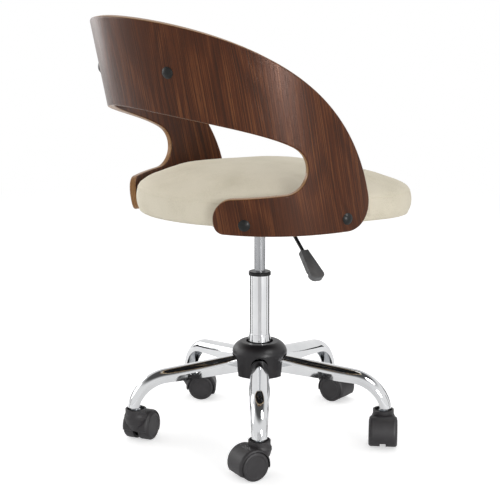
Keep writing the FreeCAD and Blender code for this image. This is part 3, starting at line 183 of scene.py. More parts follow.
def setFloor():
    # a pale matt floor that keeps the shadow near the chair and melts into the white backdrop further off
    material, tree, shader = newMaterial("paleFloor", {"Roughness": 0.9, "Specular IOR Level": 0.0})
    shader.inputs["Base Color"].default_value = linear(studio["floorShade"])
    path = addNode(tree, "ShaderNodeLightPath")
    seen = addNode(tree, "ShaderNodeMath",
                   {0: path.outputs["Is Camera Ray"], 1: path.outputs["Is Transmission Ray"]},
                   operation="MAXIMUM")
    lift = addNode(tree, "ShaderNodeMath", {0: seen.outputs[0], 1: studio["floorLift"]["camera"]},
                   operation="MULTIPLY")
    lift = addNode(tree, "ShaderNodeMath",
                   {0: path.outputs["Is Glossy Ray"], 1: studio["floorLift"]["gloss"], 2: lift.outputs[0]},
                   operation="MULTIPLY_ADD")
    seen = addNode(tree, "ShaderNodeMath", {0: seen.outputs[0], 1: path.outputs["Is Glossy Ray"]},
                   operation="MAXIMUM")
    glow = addNode(tree, "ShaderNodeEmission", {"Color": (1, 1, 1, 1), "Strength": lift.outputs[0]})
    near = addNode(tree, "ShaderNodeAddShader", {0: shader.outputs[0], 1: glow.outputs[0]})
    white = addNode(tree, "ShaderNodeEmission", {"Color": (1, 1, 1, 1), "Strength": 1.0})
    spot = addNode(tree, "ShaderNodeTexCoord")
    away = addNode(tree, "ShaderNodeVectorMath", {0: spot.outputs["Object"]}, operation="LENGTH")
    start, end = studio["floorFade"]
    fade = addNode(tree, "ShaderNodeMapRange",
                   {"Value": away.outputs["Value"], "From Min": start, "From Max": end},
                   interpolation_type="SMOOTHSTEP")
    fade = addNode(tree, "ShaderNodeMath", {0: fade.outputs[0], 1: seen.outputs[0]}, operation="MULTIPLY")
    floorLook = addNode(tree, "ShaderNodeMixShader",
                        {0: fade.outputs[0], 1: near.outputs[0], 2: white.outputs[0]})
    tree.links.new(floorLook.outputs[0], tree.nodes["Material Output"].inputs["Surface"])
    flatPiece("floor", (studio["floorSize"], studio["floorSize"]), material)


def setCards():
    # matt cards that stand on the floor facing the column, and show only in its gloss
    for name, (turn, distance, width, height, shade) in studio["cards"].items():
        material, tree, shader = newMaterial(name, {"Roughness": 0.9, "Specular IOR Level": 0.0})
        shader.inputs["Base Color"].default_value = linear(shade)
        card = flatPiece(name, (width, height), material)
        card.location, heading = roundFromCamera(turn, distance, height / 2)
        card.rotation_euler = (math.radians(90), 0, heading + math.radians(90))
        card.visible_camera = card.visible_diffuse = card.visible_shadow = card.visible_transmission = False


def setLight():
    # the world is white to the camera, gloss sees white walls below a dark ceiling, and all else gets the
    # room's light
    world = bpy.data.worlds.new("paleStudio")
    bpy.context.scene.world = world
    world.use_nodes = True
    tree = world.node_tree
    tree.nodes.clear()
    path = addNode(tree, "ShaderNodeLightPath")
    seen = addNode(tree, "ShaderNodeMath",
                   {0: path.outputs["Is Camera Ray"], 1: path.outputs["Is Transmission Ray"]},
                   operation="MAXIMUM")
    way = addNode(tree, "ShaderNodeTexCoord")
    steep = addNode(tree, "ShaderNodeSeparateXYZ", {0: way.outputs["Generated"]})
    start, full, shade = studio["ceiling"]
    wall = addNode(tree, "ShaderNodeMapRange",
                   {"Value": steep.outputs[2], "From Min": start, "From Max": full, "To Min": 1.0,
                    "To Max": shade}, interpolation_type="SMOOTHSTEP")
    room = addNode(tree, "ShaderNodeBackground", {"Color": (1, 1, 1, 1), "Strength": studio["roomLight"]})
    walls = addNode(tree, "ShaderNodeBackground", {"Color": (1, 1, 1, 1), "Strength": wall.outputs[0]})
    white = addNode(tree, "ShaderNodeBackground", {"Color": (1, 1, 1, 1), "Strength": 1.0})
    mixed = addNode(tree, "ShaderNodeMixShader",
                    {0: path.outputs["Is Glossy Ray"], 1: room.outputs[0], 2: walls.outputs[0]})
    mixed = addNode(tree, "ShaderNodeMixShader",
                    {0: seen.outputs[0], 1: mixed.outputs[0], 2: white.outputs[0]})
    addNode(tree, "ShaderNodeOutputWorld", {"Surface": mixed.outputs[0]})
    for name, (turn, distance, height, size, power, glossOnly) in studio["lamps"].items():
        data = bpy.data.lights.new(name, "AREA")
        data.shape = "DISK"
        data.size = size
        data.energy = power
        lamp = bpy.data.objects.new(name, data)
        lamp.location = roundFromCamera(turn, distance, height)[0]
        lamp.rotation_euler = (Vector(studio["lampsAim"]) - lamp.location).to_track_quat("-Z", "Y").to_euler()
        lamp.visible_diffuse = not glossOnly
        bpy.context.scene.collection.objects.link(lamp)
    bpy.context.scene.view_settings.view_transform = "Standard"


setCamera()
setFloor()
setCards()
setLight()
print("camera, floor and light set")


def lacqueredWalnut():
    # Walnut veneer, sliced and sanded, satin lacquer: brown streaks up the height of the shell, short dark
    # pores, arched figure where the leaf was cut, and a paler sanded edge where the plies show
    look = {
        "streaks": [(0.28, "231105"), (0.44, "3D1C0A"), (0.57, "4F2711"), (0.74, "734728")],
        "streakWidth": 1.35,  # all widths, lengths and thicknesses in mm
        "streakLength": 420,
        "figureWidth": 85,  # the arches of the flat-cut leaf
        "figureLength": 430,
        "figureRings": 10,
        "figureDepth": 0.055,  # how much the arches change the tone
        "broadDepth": 0.1,  # how much the leaf's broad light and dark change it
        "sway": 14,  # how far the streaks wander sideways
        "swayWidth": 60,  # the width and length of one bend of them
        "swayLength": 260,
        "poreWidth": 1.2,  # real pores are 0.3 mm, drawn coarser so that they show
        "poreLength": 22,
        "poreFrom": (0.58, 0.72),  # the noise where a pore begins and where it is full
        "poreDepth": 0.6,
        "poreShade": "28160C",
        # the two faces' leaves lie this far apart in each noise, so that they differ
        "leafShift": {"sway": 9, "streak": 5, "figure": 13, "pore": 3},
        "edge": [(0.0, "6B4A2E"), (1.0, "B0865A")],
        "edgeBase": 0.3,  # the tone that the darkest ply keeps
        "edgeSpecks": 0.5,  # to the mm
        "plyThickness": 1.5,
        "edgeSoft": 0.5,  # how far under each face the plies begin, and over how much they come in
        "lacquer": "FFDDD0",  # the warm tint that the lacquer gives its sheen
        "roughness": (0.36, 0.26),  # in the dark streaks and in the pale ones
        "streakSpan": (0.3, 0.7),  # the noise of the dark streaks and of the pale ones
        "relief": 0.25,
        "reliefHeight": 0.0004,  # m
    }
    material, tree, shader = newMaterial(
        "lacqueredWalnut", {"IOR": 1.5, "Specular IOR Level": 0.32, "Specular Tint": linear(look["lacquer"])})
    spot = addNode(tree, "ShaderNodeTexCoord")
    fromFoot = addNode(tree, "ShaderNodeVectorMath", {0: spot.outputs["Object"], 1: shellForm["foot"]},
                       operation="SUBTRACT")
    upright = addNode(tree, "ShaderNodeVectorRotate", {"Vector": fromFoot.outputs[0], "Angle": leanAngle},
                      rotation_type="X_AXIS")
    parts = addNode(tree, "ShaderNodeSeparateXYZ", {0: upright.outputs[0]})
    turn = addNode(tree, "ShaderNodeMath", {0: parts.outputs[0], 1: parts.outputs[1]}, operation="ARCTAN2")
    arc = addNode(tree, "ShaderNodeMath", {0: turn.outputs[0], 1: shellForm["radius"] * 1000},
                  operation="MULTIPLY")
    height = addNode(tree, "ShaderNodeMath", {0: parts.outputs[2], 1: 1000}, operation="MULTIPLY")
    level = addNode(tree, "ShaderNodeCombineXYZ", {0: parts.outputs[0], 1: parts.outputs[1]})
    out = addNode(tree, "ShaderNodeVectorMath", {0: level.outputs[0]}, operation="LENGTH")
    depth = addNode(tree, "ShaderNodeMath", {0: out.outputs["Value"], 1: 1000}, operation="MULTIPLY")
    leaf = addNode(tree, "ShaderNodeMath",
                   {0: depth.outputs[0], 1: (shellForm["radius"] - shellForm["wall"] / 2) * 1000},
                   operation="GREATER_THAN")
    place = addNode(tree, "ShaderNodeCombineXYZ",
                    {0: arc.outputs[0], 1: height.outputs[0], 2: leaf.outputs[0]})

    shift = look["leafShift"]
    swayStretch = (1 / look["swayWidth"], 1 / look["swayLength"], shift["sway"])
    wander = addNode(tree, "ShaderNodeVectorMath", {0: place.outputs[0], 1: swayStretch},
                     operation="MULTIPLY")
    drift = addNode(tree, "ShaderNodeTexNoise", {"Vector": wander.outputs[0], "Scale": 1, "Detail": 1})
    sway = addNode(tree, "ShaderNodeMath", {0: drift.outputs[0], 1: 0.5}, operation="SUBTRACT")
    sway = addNode(tree, "ShaderNodeMath", {0: sway.outputs[0], 1: look["sway"]}, operation="MULTIPLY")
    swayed = addNode(tree, "ShaderNodeCombineXYZ", {0: sway.outputs[0]})
    grainPlace = addNode(tree, "ShaderNodeVectorMath", {0: place.outputs[0], 1: swayed.outputs[0]},
                         operation="ADD")

    streakStretch = (1 / look["streakWidth"], 1 / look["streakLength"], shift["streak"])
    streakPlace = addNode(tree, "ShaderNodeVectorMath", {0: grainPlace.outputs[0], 1: streakStretch},
                          operation="MULTIPLY")
    streak = addNode(tree, "ShaderNodeTexNoise",
                     {"Vector": streakPlace.outputs[0], "Scale": 1, "Detail": 2, "Roughness": 0.5})
    figureStretch = (1 / look["figureWidth"], 1 / look["figureLength"], shift["figure"])
    figurePlace = addNode(tree, "ShaderNodeVectorMath", {0: place.outputs[0], 1: figureStretch},
                          operation="MULTIPLY")
    figure = addNode(tree, "ShaderNodeTexNoise", {"Vector": figurePlace.outputs[0], "Scale": 1, "Detail": 1})
    ring = addNode(tree, "ShaderNodeMath", {0: figure.outputs[0], 1: look["figureRings"] * 2 * math.pi},
                   operation="MULTIPLY")
    ring = addNode(tree, "ShaderNodeMath", {0: ring.outputs[0]}, operation="SINE")
    ring = addNode(tree, "ShaderNodeMath", {0: ring.outputs[0], 1: look["figureDepth"]},
                   operation="MULTIPLY")
    tone = addNode(tree, "ShaderNodeMath", {0: streak.outputs[0], 1: ring.outputs[0]}, operation="ADD")
    broad = addNode(tree, "ShaderNodeMath", {0: figure.outputs[0], 1: 0.5}, operation="SUBTRACT")
    broad = addNode(tree, "ShaderNodeMath", {0: broad.outputs[0], 1: look["broadDepth"]},
                    operation="MULTIPLY")
    tone = addNode(tree, "ShaderNodeMath", {0: tone.outputs[0], 1: broad.outputs[0]}, operation="ADD")
    veneer = fillRamp(addNode(tree, "ShaderNodeValToRGB", {0: tone.outputs[0]}), look["streaks"])

    poreStretch = (1 / look["poreWidth"], 1 / look["poreLength"], shift["pore"])
    porePlace = addNode(tree, "ShaderNodeVectorMath", {0: grainPlace.outputs[0], 1: poreStretch},
                        operation="MULTIPLY")
    pore = addNode(tree, "ShaderNodeTexNoise", {"Vector": porePlace.outputs[0], "Scale": 1, "Detail": 1})
    begins, full = look["poreFrom"]
    pores = addNode(tree, "ShaderNodeMapRange", {"Value": pore.outputs[0], "From Min": begins,
                                                 "From Max": full, "To Min": 0, "To Max": look["poreDepth"]})
    dark = addNode(tree, "ShaderNodeMix",
                   {0: pores.outputs[0], 6: veneer.outputs[0], 7: linear(look["poreShade"])},
                   data_type="RGBA")

    # the sanded edge lies between the two faces of the sheet
    inner = (shellForm["radius"] - shellForm["wall"]) * 1000
    outer = shellForm["radius"] * 1000
    fromIn = addNode(tree, "ShaderNodeMapRange",
                     {"Value": depth.outputs[0], "From Min": inner + look["edgeSoft"],
                      "From Max": inner + 2 * look["edgeSoft"]})
    fromOut = addNode(tree, "ShaderNodeMapRange",
                      {"Value": depth.outputs[0], "From Min": outer - look["edgeSoft"],
                       "From Max": outer - 2 * look["edgeSoft"]})
    edge = addNode(tree, "ShaderNodeMath", {0: fromIn.outputs[0], 1: fromOut.outputs[0]},
                   operation="MULTIPLY")
    ply = addNode(tree, "ShaderNodeMath", {0: depth.outputs[0], 1: math.pi / look["plyThickness"]},
                  operation="MULTIPLY")
    ply = addNode(tree, "ShaderNodeMath", {0: ply.outputs[0]}, operation="SINE")
    plyTone = addNode(tree, "ShaderNodeMapRange", {"Value": ply.outputs[0], "From Min": -1})
    speck = addNode(tree, "ShaderNodeTexNoise",
                    {"Vector": grainPlace.outputs[0], "Scale": look["edgeSpecks"], "Detail": 3})
    plyTone = addNode(tree, "ShaderNodeMath", {0: plyTone.outputs[0], 1: speck.outputs[0]},
                      operation="MULTIPLY")
    edgeTone = addNode(tree, "ShaderNodeMath", {0: plyTone.outputs[0], 1: look["edgeBase"]},
                       operation="ADD")
    plies = fillRamp(addNode(tree, "ShaderNodeValToRGB", {0: edgeTone.outputs[0]}), look["edge"])
    colour = addNode(tree, "ShaderNodeMix", {0: edge.outputs[0], 6: dark.outputs[2], 7: plies.outputs[0]},
                     data_type="RGBA")
    tree.links.new(colour.outputs[2], shader.inputs["Base Color"])
    darkest, palest = look["streakSpan"]
    soft, sharp = look["roughness"]
    gloss = addNode(tree, "ShaderNodeMapRange", {"Value": streak.outputs[0], "From Min": darkest,
                                                 "From Max": palest, "To Min": soft, "To Max": sharp})
    tree.links.new(gloss.outputs[0], shader.inputs["Roughness"])
    relief = addNode(tree, "ShaderNodeMath", {0: streak.outputs[0], 1: pores.outputs[0]},
                     operation="SUBTRACT")
    bump = addNode(tree, "ShaderNodeBump", {"Height": relief.outputs[0], "Strength": look["relief"],
                                            "Distance": look["reliefHeight"]})
    tree.links.new(bump.outputs[0], shader.inputs["Normal"])
    return material


def rawBirchPly():
    # Birch plywood, rotary cut and left raw: pale wide grain on the faces, thin light and dark plies on the
    # edge
    look = {
        "tones": [(0.3, "B08A5C"), (0.7, "D6B687")],
        "grainWidth": 9,  # mm
        "grainLength": 160,
        "grainsThrough": 60,  # to the metre, through the sheet
        "plyThickness": 1.4,  # mm
        "plyDepth": 0.12,
        "relief": 0.2,
        "reliefHeight": 0.0003,  # m
    }
    material, tree, shader = newMaterial("rawBirchPly", {"Roughness": 0.75, "IOR": 1.5})
    spot = addNode(tree, "ShaderNodeTexCoord")
    stretch = (1000 / look["grainWidth"], 1000 / look["grainLength"], look["grainsThrough"])
    scaled = addNode(tree, "ShaderNodeVectorMath", {0: spot.outputs["Object"], 1: stretch},
                     operation="MULTIPLY")
    grain = addNode(tree, "ShaderNodeTexNoise", {"Vector": scaled.outputs[0], "Scale": 1, "Detail": 4})
    parts = addNode(tree, "ShaderNodeSeparateXYZ", {0: spot.outputs["Object"]})
    layer = addNode(tree, "ShaderNodeMath", {0: parts.outputs[2], 1: 1000 * math.pi / look["plyThickness"]},
                    operation="MULTIPLY")
    layer = addNode(tree, "ShaderNodeMath", {0: layer.outputs[0]}, operation="SINE")
    layer = addNode(tree, "ShaderNodeMath", {0: layer.outputs[0], 1: look["plyDepth"]}, operation="MULTIPLY")
    tone = addNode(tree, "ShaderNodeMath", {0: grain.outputs[0], 1: layer.outputs[0]}, operation="ADD")
    colour = fillRamp(addNode(tree, "ShaderNodeValToRGB", {0: tone.outputs[0]}), look["tones"])
    tree.links.new(colour.outputs[0], shader.inputs["Base Color"])
    bump = addNode(tree, "ShaderNodeBump", {"Height": grain.outputs[0], "Strength": look["relief"],
                                            "Distance": look["reliefHeight"]})
    tree.links.new(bump.outputs[0], shader.inputs["Normal"])
    return material


def creamLeatherette():
    # Polyurethane leatherette, embossed with a fine pebble grain: a warm cream with a soft broad sheen; its
    # colour has painted shade in the hollows of the grain and painted light on the pebbles' tops
    look = {
        "tones": [(0.1, "CCC4AE"), (0.5, "DFD7C3"), (0.9, "E6DECB")],
        "pebble": 1.1,  # mm, real grain is 0.6 mm, drawn coarser so that it shows
        "cloud": 70,  # mm
        "hollowFrom": (0.25, 0.75),  # how far from a pebble's middle its side begins and the hollow is full
        "paintedHollowShade": 0.16,  # painted shade lost in a hollow, and painted light gained on a pebble
        "roughness": (0.6, 0.75),
        "relief": 0.35,
        "reliefHeight": 0.0002,  # m
    }
    material, tree, shader = newMaterial("creamLeatherette", {"IOR": 1.5, "Specular IOR Level": 0.15})
    spot = addNode(tree, "ShaderNodeTexCoord")
    pebble = addNode(tree, "ShaderNodeTexVoronoi",
                     {"Vector": spot.outputs["Object"], "Scale": 1000 / look["pebble"]}, feature="SMOOTH_F1")
    cloud = addNode(tree, "ShaderNodeTexNoise",
                    {"Vector": spot.outputs["Object"], "Scale": 1000 / look["cloud"], "Detail": 3})
    begins, full = look["hollowFrom"]
    # painted shade and painted light: the colour darkens in the grain's hollows and lightens on the pebbles'
    # tops, and the same value raises the bump
    hollow = addNode(tree, "ShaderNodeMapRange",
                     {"Value": pebble.outputs["Distance"], "From Min": begins, "From Max": full,
                      "To Min": look["paintedHollowShade"], "To Max": -look["paintedHollowShade"]})
    tone = addNode(tree, "ShaderNodeMath", {0: cloud.outputs[0], 1: hollow.outputs[0]}, operation="ADD")
    colour = fillRamp(addNode(tree, "ShaderNodeValToRGB", {0: tone.outputs[0]}), look["tones"])
    tree.links.new(colour.outputs[0], shader.inputs["Base Color"])
    low, high = look["roughness"]
    gloss = addNode(tree, "ShaderNodeMapRange", {"Value": cloud.outputs[0], "To Min": low, "To Max": high})
    tree.links.new(gloss.outputs[0], shader.inputs["Roughness"])
    bump = addNode(tree, "ShaderNodeBump", {"Height": hollow.outputs[0], "Strength": look["relief"],
                                            "Distance": look["reliefHeight"]})
    tree.links.new(bump.outputs[0], shader.inputs["Normal"])
    return material


def nonwovenCloth():
    # Spunbond polypropylene, pressed with small diamonds: a matt charcoal sheet with a dotted face
    look = {
        "tones": [(0.3, "1B1B1C"), (0.7, "343436")],
        "dot": 2.4,  # mm
        "dotEdge": (0.15, 0.35),  # how far from a dot's middle its rim begins and ends
        "dotTone": -0.3,  # what the fibres' tone is multiplied by inside a dot
        "fibre": 0.9,  # mm
        "relief": 0.5,
        "reliefHeight": 0.0003,  # m
    }
    material, tree, shader = newMaterial("nonwovenCloth", {"Roughness": 0.95, "Specular IOR Level": 0.15})
    spot = addNode(tree, "ShaderNodeTexCoord")
    turned = addNode(tree, "ShaderNodeVectorRotate",
                     {"Vector": spot.outputs["Object"], "Angle": math.radians(45)}, rotation_type="Z_AXIS")
    dots = addNode(tree, "ShaderNodeTexVoronoi",
                   {"Vector": turned.outputs[0], "Scale": 1000 / look["dot"], "Randomness": 0.0},
                   voronoi_dimensions="2D")
    fibre = addNode(tree, "ShaderNodeTexNoise",
                    {"Vector": spot.outputs["Object"], "Scale": 1000 / look["fibre"], "Detail": 3,
                     "Distortion": 1.5})
    begins, ends = look["dotEdge"]
    pressed = addNode(tree, "ShaderNodeMapRange", {"Value": dots.outputs["Distance"], "From Min": begins,
                                                   "From Max": ends, "To Min": look["dotTone"]})
    tone = addNode(tree, "ShaderNodeMath", {0: fibre.outputs[0], 1: pressed.outputs[0]},
                   operation="MULTIPLY")
    colour = fillRamp(addNode(tree, "ShaderNodeValToRGB", {0: tone.outputs[0]}), look["tones"])
    tree.links.new(colour.outputs[0], shader.inputs["Base Color"])
    bump = addNode(tree, "ShaderNodeBump", {"Height": tone.outputs[0], "Strength": look["relief"],
                                            "Distance": look["reliefHeight"]})
    tree.links.new(bump.outputs[0], shader.inputs["Normal"])
    return material


markSpan = (0.3, 0.75)  # the noise of a metal's faint marks and of its strong ones
reliefHeight = {"metal": 0.0002, "moulded": 0.0003}  # m


def metal(name, look):
    # a bare or plated metal: its colour drifts a little, and fine marks change how sharp its gloss is. Its
    # look has two tones, two roughness values, the size of the drift and of the marks in mm, and the marks'
    # stretch
    material, tree, shader = newMaterial(name, {"Metallic": 1.0})
    spot = addNode(tree, "ShaderNodeTexCoord")
    drift = addNode(tree, "ShaderNodeTexNoise",
                    {"Vector": spot.outputs["Object"], "Scale": 1000 / look["drift"], "Detail": 2})
    colour = fillRamp(addNode(tree, "ShaderNodeValToRGB", {0: drift.outputs[0]}), look["tones"])
    tree.links.new(colour.outputs[0], shader.inputs["Base Color"])
    scaled = addNode(tree, "ShaderNodeVectorMath", {0: spot.outputs["Object"], 1: look["stretch"]},
                     operation="MULTIPLY")
    mark = addNode(tree, "ShaderNodeTexNoise",
                   {"Vector": scaled.outputs[0], "Scale": 1000 / look["mark"], "Detail": 4,
                    "Roughness": 0.6})
    faint, strong = markSpan
    low, high = look["roughness"]
    gloss = addNode(tree, "ShaderNodeMapRange", {"Value": mark.outputs[0], "From Min": faint,
                                                 "From Max": strong, "To Min": low, "To Max": high})
    tree.links.new(gloss.outputs[0], shader.inputs["Roughness"])
    bump = addNode(tree, "ShaderNodeBump", {"Height": mark.outputs[0], "Strength": look["relief"],
                                            "Distance": reliefHeight["metal"]})
    tree.links.new(bump.outputs[0], shader.inputs["Normal"])
    return material


def moulded(name, look):
    # a moulded plastic or rubber, or a powder coat: a fine grit in the gloss and a slight cloud in the
    # colour. Its look has two tones, two roughness values, and the size of the cloud and of the grit in mm
    material, tree, shader = newMaterial(
        name, {"IOR": look.get("ior", 1.5), "Specular IOR Level": look.get("shine", 0.5)})
    spot = addNode(tree, "ShaderNodeTexCoord")
    cloud = addNode(tree, "ShaderNodeTexNoise",
                    {"Vector": spot.outputs["Object"], "Scale": 1000 / look["cloud"], "Detail": 3})
    grit = addNode(tree, "ShaderNodeTexNoise",
                   {"Vector": spot.outputs["Object"], "Scale": 1000 / look["grit"], "Detail": 2,
                    "Roughness": 0.7})
    colour = fillRamp(addNode(tree, "ShaderNodeValToRGB", {0: cloud.outputs[0]}), look["tones"])
    tree.links.new(colour.outputs[0], shader.inputs["Base Color"])
    low, high = look["roughness"]
    gloss = addNode(tree, "ShaderNodeMapRange", {"Value": grit.outputs[0], "To Min": low, "To Max": high})
    tree.links.new(gloss.outputs[0], shader.inputs["Roughness"])
    bump = addNode(tree, "ShaderNodeBump", {"Height": grit.outputs[0], "Strength": look["relief"],
                                            "Distance": reliefHeight["moulded"]})
    tree.links.new(bump.outputs[0], shader.inputs["Normal"])
    return material


walnut = lacqueredWalnut()
leatherette = creamLeatherette()
dustCloth = nonwovenCloth()
seatPly = rawBirchPly()
# Chrome plate over polished steel: near mirror, with a faint ripple from pressing and polishing
chromePlate = metal("chromePlatedSteel", {
    "tones": [(0.3, "D0D1D3"), (0.7, "DCDDDE")], "drift": 60, "mark": 14, "stretch": (1, 1, 1),
    "roughness": (0.035, 0.075), "relief": 0.05})
# Satin chrome on the drawn gas cylinder: even grey, softer gloss, faint lines along the draw
satinChrome = metal("satinChromedSteel", {
    "tones": [(0.3, "9B9C9F"), (0.7, "ADAEB0")], "drift": 50, "mark": 1.4, "stretch": (1, 1, 0.04),
    "roughness": (0.2, 0.3), "relief": 0.06})
# Bright zinc on steel fasteners: pale blue-grey, slightly cloudy
zincPlate = metal("brightZincPlatedSteel", {
    "tones": [(0.3, "A9ADB2"), (0.7, "C4C6C8")], "drift": 8, "mark": 2, "stretch": (1, 1, 1),
    "roughness": (0.25, 0.4), "relief": 0.1})
# Ground and hardened steel: clean silver with fine rings from grinding
groundSteel = metal("groundSteel", {
    "tones": [(0.3, "A6A7A9"), (0.7, "BDBEC0")], "drift": 12, "mark": 0.9, "stretch": (0.05, 0.05, 1),
    "roughness": (0.16, 0.26), "relief": 0.08})
# Powder coat on pressed steel: near black with a fine orange peel
powderCoat = moulded("blackPowderCoat", {
    "tones": [(0.3, "131314"), (0.7, "1E1E20")], "cloud": 25, "grit": 1.6, "roughness": (0.32, 0.45),
    "relief": 0.25})
# Polypropylene cover, moulded with a satin face: soft broad highlight
coverPlastic = moulded("satinBlackPolypropylene", {
    "tones": [(0.3, "110F12"), (0.7, "1A171A")], "cloud": 30, "grit": 0.8, "roughness": (0.34, 0.44),
    "relief": 0.08, "shine": 0.4})
# Glass-filled nylon of the casters: charcoal, dull, with a fine spark texture
casterNylon = moulded("charcoalNylon", {
    "tones": [(0.3, "1C191C"), (0.7, "282528")], "cloud": 14, "grit": 0.7, "roughness": (0.42, 0.6),
    "relief": 0.2, "ior": 1.53})
# Acetal bushes: smooth black with a waxy gloss
acetal = moulded("blackAcetal", {
    "tones": [(0.3, "0E0E0F"), (0.7, "191919")], "cloud": 10, "grit": 0.8, "roughness": (0.25, 0.4),
    "relief": 0.08, "ior": 1.48, "shine": 0.3})
# ABS grip of the lever: dark grey with a fine leather-like mould texture
gripPlastic = moulded("darkGreyAbs", {
    "tones": [(0.3, "525253"), (0.7, "646465")], "cloud": 12, "grit": 0.7, "roughness": (0.45, 0.6),
    "relief": 0.25, "ior": 1.54})
# Polyethylene bolt caps: off black with a soft gloss
capPlastic = moulded("blackPolyethylene", {
    "tones": [(0.3, "0F100F"), (0.7, "191A19")], "cloud": 6, "grit": 0.9, "roughness": (0.3, 0.42),
    "relief": 0.1, "shine": 0.25})
# Nitrile rubber of the buffer: flat black
bufferRubber = moulded("blackRubber", {
    "tones": [(0.3, "141414"), (0.7, "1D1D1C")], "cloud": 8, "grit": 0.6, "roughness": (0.7, 0.9),
    "relief": 0.3})
print("materials made")

finishes = {
    "back_shell": walnut,
    "seat_board": seatPly,
    "pad_board": seatPly,
    "bolt_caps": capPlastic,
    "base_hub": chromePlate,
    "column_tube": chromePlate,
    "column_foot_ring": chromePlate,
    "caster_sockets": zincPlate,
    "hub_cover": coverPlastic,
    "guide_bush": acetal,
    "thrust_washers": groundSteel,
    "thrust_cage": groundSteel,
    "piston_rod": groundSteel,
    "rod_buffer": bufferRubber,
    "rod_clip": groundSteel,
    "gas_cylinder": satinChrome,
    "cylinder_gland": acetal,
    "cone_socket": powderCoat,
    "seat_plate": powderCoat,
    "plate_bolts": zincPlate,
    "foot_bolts": zincPlate,
    "back_bolts": zincPlate,
    "foot_spacers": acetal,
    "lever_bush": acetal,
    "release_pin": zincPlate,
    "lever_rod": powderCoat,
    "lever_grip": gripPlastic,
}
for number in range(1, 6):  # the five arms and their casters
    finishes["base_arm_%d" % number] = chromePlate
    finishes["caster_%d_hood" % number] = casterNylon
    finishes["caster_%d_wheel_left" % number] = casterNylon
    finishes["caster_%d_wheel_right" % number] = casterNylon
    finishes["caster_%d_stem" % number] = zincPlate
    finishes["caster_%d_axle" % number] = zincPlate

for name, material in finishes.items():
    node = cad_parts[name]
    if not node.material_slots:
        node.data.materials.append(material)
    for place in node.material_slots:
        place.material = material
print("finishes given to", len(finishes), "solids")


def joined(nodes):
    # copies of some solids' meshes as one bmesh
    made = bmesh.new()
    for node in nodes:
        made.from_mesh(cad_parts[node].data)
    return made


def largestIsland(made):
    # only the outer skin stays of what a remesh gives
    made.verts.ensure_lookup_table()
    left = set(made.verts)
    islands = []
    while left:
        reached = [left.pop()]
        for vertex in reached:
            for edge in vertex.link_edges:
                other = edge.other_vert(vertex)
                if other in left:
                    left.discard(other)
                    reached.append(other)
        islands.append(reached)
    islands.sort(key=len)
    bmesh.ops.delete(made, geom=[vertex for island in islands[:-1] for vertex in island], context="VERTS")


def swollen(name, nodes, look, held, sewn, fill=None):
    # the pad's skin swells a little under pressure, like foam under leatherette. held and sewn tell which
    # points stay where they are, and fill shapes the foam before it swells
    made = joined(nodes)
    mesh = bpy.data.meshes.new(name + "Work")
    made.to_mesh(mesh)
    made.free()
    pad = bpy.data.objects.new(name + "Work", mesh)
    bpy.context.scene.collection.objects.link(pad)
    remesh = pad.modifiers.new("even", "REMESH")
    remesh.mode = "VOXEL"
    remesh.voxel_size = look["voxel"]
    even = evaluated(pad)
    pad.modifiers.clear()
    made = bmesh.new()
    made.from_mesh(even)
    largestIsland(made)
    made.normal_update()
    start = Vector(look["start"])
    for vertex in made.verts:
        vertex.co += vertex.normal * start
    if fill:
        fill(made)
    made.to_mesh(even)
    made.free()
    pad.data = even
    before = [vertex.co.copy() for vertex in even.vertices]
    after = before
    pins = pad.vertex_groups.new(name="held")
    pins.add([i for i, co in enumerate(before) if held(co) or sewn(co)], 1.0, "REPLACE")
    cloth = pad.modifiers.new("skin", "CLOTH")
    cloth.settings.use_pressure = True
    cloth.settings.uniform_pressure_force = look["pressure"]
    cloth.settings.vertex_group_mass = "held"
    cloth.settings.effector_weights.gravity = 0
    cloth.point_cache.frame_start = 1
    cloth.point_cache.frame_end = look["frames"]
    for step in range(1, look["frames"] + 1):
        bpy.context.scene.frame_set(step)
    graph = bpy.context.evaluated_depsgraph_get()
    after = [vertex.co.copy() for vertex in pad.evaluated_get(graph).data.vertices]
    bpy.context.scene.frame_set(1)
    pad.modifiers.clear()
    for vertex, one, two in zip(even.vertices, before, after):
        move = two - one
        vertex.co = one + move.normalized() * min(move.length, look["cap"])
    smooth = pad.modifiers.new("settle", "SMOOTH")
    smooth.iterations = look["settle"]
    smooth.factor = look["settleShare"]
    finer = pad.modifiers.new("finer", "SUBSURF")
    finer.levels = 1
    made = evaluated(pad)
    bpy.data.objects.remove(pad)
    print("swollen:", name, len(made.polygons), "faces")
    return made


def levelLine(mesh, measure, level):
    # the longest closed line on a mesh along which a measure of its points has one level
    made = bmesh.new()
    made.from_mesh(mesh)
    values = {vertex: measure(vertex.co) - level for vertex in made.verts}
    crossings = {}
    for edge in made.edges:
        one, two = edge.verts
        if (values[one] < 0) != (values[two] < 0):
            crossings[edge] = one.co.lerp(two.co, values[one] / (values[one] - values[two]))
    beside = {edge: [] for edge in crossings}
    for face in made.faces:
        cut = [edge for edge in face.edges if edge in crossings]
        if len(cut) == 2:
            beside[cut[0]].append(cut[1])
            beside[cut[1]].append(cut[0])
    lines = []
    done = set()
    for first in crossings:
        if first in done:
            continue
        line = []
        edge = first
        while edge is not None:
            done.add(edge)
            line.append(crossings[edge].copy())
            edge = next((other for other in beside[edge] if other not in done), None)
        lines.append(line)
    made.free()
    return max(lines, key=len)


def evened(points, spacing, passes):
    # a closed line with its points at even steps, its small jogs smoothed away
    lengths = [(points[(i + 1) % len(points)] - point).length for i, point in enumerate(points)]
    count = round(sum(lengths) / spacing)
    step = sum(lengths) / count
    even = []
    walked = 0.0
    index = 0
    for k in range(count):
        while walked + lengths[index] < k * step:
            walked += lengths[index]
            index += 1
        share = (k * step - walked) / lengths[index]
        even.append(points[index].lerp(points[(index + 1) % len(points)], share))
    for turn in range(passes):
        even = [(even[i - 1] + even[i] * 2 + even[(i + 1) % count]) / 4 for i in range(count)]
    return even


uprightBelow = 0.01  # a line whose level part is less than this runs straight up


